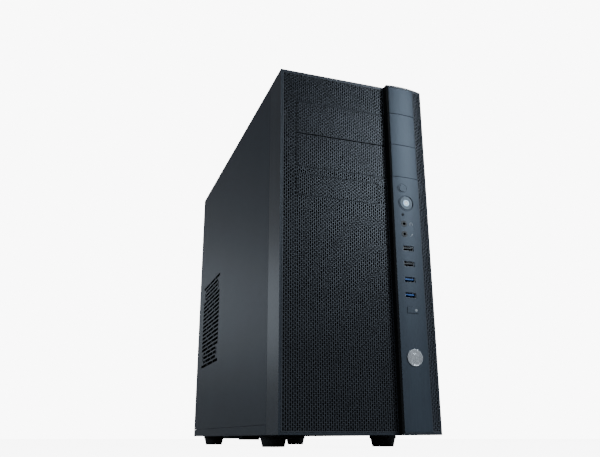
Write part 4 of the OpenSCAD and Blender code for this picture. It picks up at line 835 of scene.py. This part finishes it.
def make_large_cover(node):
    """One large cover: tray, perforated front, foam, step wall and its segment of the strip."""
    low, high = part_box(node)
    body = BODY_OF[node]
    step_right = STRIP_LOW.x - GAP
    step_left = step_right - STEP_WALL
    face_high = Vector((step_left, high.y, high.z))
    cover_sheet(node + "_mesh", low, Vector((step_left - GAP, high.y, high.z)), body, node)
    tray = cover_tray(low, face_high)
    # The tray is dead black: painted shade in the seams round the cover.
    settle(tray, node + "_tray", body, "painted_shadow_black")
    cover_foam(node + "_foam", low, face_high, body)
    step = solid_box((step_left, nose_y(step_right), low.z), (step_right, high.y, high.z))
    soften(step, 0.4 * MM, 3)
    # The step wall is dead black: painted shade.
    settle(step, node + "_step", body, "painted_shadow_black")
    segment = strip_plate((STRIP_LOW.x, STRIP_HIGH.x), (low.z, high.z))
    settle(segment, node + "_segment", body, "strip_finish")
    wall = solid_box((high.x - COVER_WALL, nose_y(high.x) + STRIP_THICKNESS, low.z), high)
    soften(wall, 0.3 * MM)
    settle(wall, node + "_side", body, "black_plastic")


def make_small_cover():
    """The small cover: tray, perforated front and foam."""
    low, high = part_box("small_bay_cover")
    cover_sheet("small_bay_cover_mesh", low, high, "small_bay_cover", "small_bay_cover")
    # The tray is dead black: painted shade in the seams round the cover.
    settle(cover_tray(low, high), "small_bay_cover_tray", "small_bay_cover", "painted_shadow_black")
    cover_foam("small_bay_cover_foam", low, high, "small_bay_cover")


make_large_cover("upper_bay_cover")
make_large_cover("lower_bay_cover")
make_small_cover()

# ------------------------------------------------------------------ shells with rounded edges

for shell, radius in (("front_bezel", 0.9), ("control_strip", 0.3), ("top_trim", 0.35),
                      ("left_panel", 0.5), ("right_panel", 0.5), ("top_panel", 0.25),
                      ("base_pan", 0.3), ("feet", 0.8)):
    softened_copy(shell, radius * MM)


CUT_MARGIN = 0.1 * MM
INSIDE_DEPTH = 0.5 * MM
STEP_DEPTH = 2 * MM


def blacken_step():
    """Cuts the bezel's step beside the strip, its inside and its top face into a dead black piece; on the
    step and the inside it is painted shade.
    """
    bezel = bpy.data.objects["front_bezel_finished"]
    left = STRIP_LOW.x - GAP - STEP_WALL - CUT_MARGIN
    right = STRIP_LOW.x - GAP + CUT_MARGIN
    side, sill, lid = SHEET_LOW.x - CUT_MARGIN, SHEET_LOW.z - CUT_MARGIN, SHEET_HIGH.z + CUT_MARGIN

    def dark(centre, _):
        step = left < centre.x < right and centre.y < MESH_Y + STEP_DEPTH
        within = side < centre.x < -side and sill < centre.z < lid
        inside = within and centre.y > MESH_Y + INSIDE_DEPTH
        return step or inside

    edit(bezel)
    pick_faces(bezel, dark)
    bpy.ops.mesh.separate(type="SELECTED")
    leave()
    step = next(piece for piece in bpy.context.selected_objects if piece != bezel)
    settle(step, "front_bezel_step", "front_bezel", "painted_shadow_black")


blacken_step()

# ------------------------------------------------------------------ buttons, prints and badge


def ring(place, outer, inner, depth, sides=64):
    """A flat ring that faces forward, with softened edges."""
    disc = solid_round(place, outer, depth, sides)
    edit(disc)
    pick_faces(disc, lambda centre, normal: normal.y < -0.9)
    bpy.ops.mesh.inset(thickness=outer - inner, use_even_offset=True)
    bpy.ops.mesh.extrude_region_move(TRANSFORM_OT_translate={"value": (0, depth, 0)})
    bpy.ops.mesh.delete(type="FACE")
    leave()
    soften(disc, 0.12 * MM, 2)
    return disc


PRINT_THICKNESS = 0.16 * MM
PRINT_LIFT = 0.03 * MM
PRINT_TO_SOCKET = 4.6 * MM
PRINT_INSET = 4 * MM
SYMBOL_WIDTH = 0.5 * MM


def print_bar(start, end, width, face):
    """A printed stroke between two points given as x and z; face gives a surface's y at x."""
    x, z = (start[0] + end[0]) / 2, (start[1] + end[1]) / 2
    length = math.hypot(end[0] - start[0], end[1] - start[1])
    slope = math.atan2(end[1] - start[1], end[0] - start[0])
    bpy.ops.mesh.primitive_cube_add(size=1, location=(x, face(x) - PRINT_LIFT, z), rotation=(0, -slope, 0))
    bar = bpy.context.object
    bar.scale = (length + width, PRINT_THICKNESS, width)
    baked_place()
    soften(bar, 0.03 * MM, 1)
    return bar


def print_arc(centre, radius, face, width, first, last, steps=20):
    """Printed strokes that follow an arc between two angles in degrees."""
    bars = []
    angles = [math.radians(first + (last - first) * i / steps) for i in range(steps + 1)]
    for a, b in zip(angles, angles[1:]):
        points = [(centre[0] + radius * math.cos(k), centre[1] + radius * math.sin(k)) for k in (a, b)]
        bars.append(print_bar(points[0], points[1], width, face))
    return bars


def make_power_symbol():
    """The ring and stroke on the power lens."""
    low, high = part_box("power_lens")
    x, z = (low.x + high.x) / 2, (low.z + high.z) / 2

    def face(_):
        return low.y

    bars = print_arc((x, z), 1.9 * MM, face, SYMBOL_WIDTH, 125, 415)
    bars.append(print_bar((x, z + 0.6 * MM), (x, z + 2.5 * MM), SYMBOL_WIDTH, face))
    settle(joined(bars), "power_symbol", "power_button", "light_plastic")


def make_headphone_print():
    """The headphone mark beside the upper sound socket."""
    low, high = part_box("audio_jacks")
    x, z = high.x + PRINT_TO_SOCKET, high.z - PRINT_INSET
    bars = print_arc((x, z), 1.7 * MM, nose_y, SYMBOL_WIDTH, -15, 195, 14)
    for cup_x in (x - 1.6 * MM, x + 1.6 * MM):
        bars.append(print_bar((cup_x, z - 1.5 * MM), (cup_x, z - 0.4 * MM), 0.9 * MM, nose_y))
    settle(joined(bars), "headphone_print", "front_bezel", "print_ink")


def make_microphone_print():
    """The microphone mark beside the lower sound socket."""
    low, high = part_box("audio_jacks")
    x, z = high.x + PRINT_TO_SOCKET, low.z + PRINT_INSET
    bars = [print_bar((x - 1.4 * MM, z - 1.8 * MM), (x + 0.3 * MM, z + 0.3 * MM), 0.55 * MM, nose_y),
            print_bar((x + 0.5 * MM, z + 0.6 * MM), (x + 1.1 * MM, z + 1.3 * MM), 1.2 * MM, nose_y)]
    settle(joined(bars), "microphone_print", "front_bezel", "print_ink")


def make_fan_button_dot():
    """The round white mark at the right end of the fan speed button."""
    low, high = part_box("fan_button")
    radius, thickness, lift = 1.6 * MM, 0.1 * MM, 0.06 * MM
    x, z = high.x - 2 * radius, (low.z + high.z) / 2
    dot = solid_round((x, low.y - lift, z), radius, thickness, 32)
    soften(dot, 0.03 * MM, 1)
    settle(dot, "fan_button_dot", "fan_button", "print_ink")


def make_badge():
    """A plain round badge: a dished disc inside a raised rim."""
    low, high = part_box("badge")
    centre = ((low.x + high.x) / 2, low.y, (low.z + high.z) / 2)
    radius = (high.x - low.x) / 2
    rim, slope, dish, boss = 0.9 * MM, 0.3 * MM, 0.35 * MM, 0.25 * MM
    disc = solid_round(centre, radius, high.y - low.y, 72)
    edit(disc)
    pick_faces(disc, lambda point, normal: normal.y < -0.9)
    bpy.ops.mesh.inset(thickness=rim, use_even_offset=True)
    bpy.ops.mesh.inset(thickness=slope, use_even_offset=True)
    bpy.ops.transform.translate(value=(0, dish, 0))
    bpy.ops.mesh.inset(thickness=radius * 0.42, use_even_offset=True)
    bpy.ops.mesh.inset(thickness=slope, use_even_offset=True)
    bpy.ops.transform.translate(value=(0, -boss, 0))
    leave()
    soften(disc, 0.1 * MM, 2, 20)
    settle(disc, "badge_finished", "front_bezel", "badge_metal", "badge")


def make_collar(node, width):
    """A dark collar round a round button: painted shade where its clearance is."""
    low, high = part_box(node)
    lift, depth = 0.12 * MM, 0.9 * MM
    centre = ((low.x + high.x) / 2, NOSE_FRONT - lift, (low.z + high.z) / 2)
    inner = (high.x - low.x) / 2 + GAP
    collar = ring(centre, inner + width, inner, depth)
    settle(collar, node + "_collar", "front_bezel", "painted_shadow_black")


make_collar("power_button", 0.45 * MM)
make_collar("reset_button", 0.25 * MM)
make_power_symbol()
make_headphone_print()
make_microphone_print()
make_fan_button_dot()
make_badge()
# The power button's rim takes the lighter, bluer finish: painted light.
softened_copy("power_button", 0.3 * MM, finish="painted_light_rim")
for button, radius in (("reset_button", 0.3), ("fan_button", 0.3), ("power_lens", 0.3),
                       ("audio_jacks", 0.2), ("usb_tongues", 0.15)):
    softened_copy(button, radius * MM)
# The front sockets' shells take the darkened port metal: painted shade.
softened_copy("usb_shells", 0.08 * MM, finish="painted_shade_port_metal")
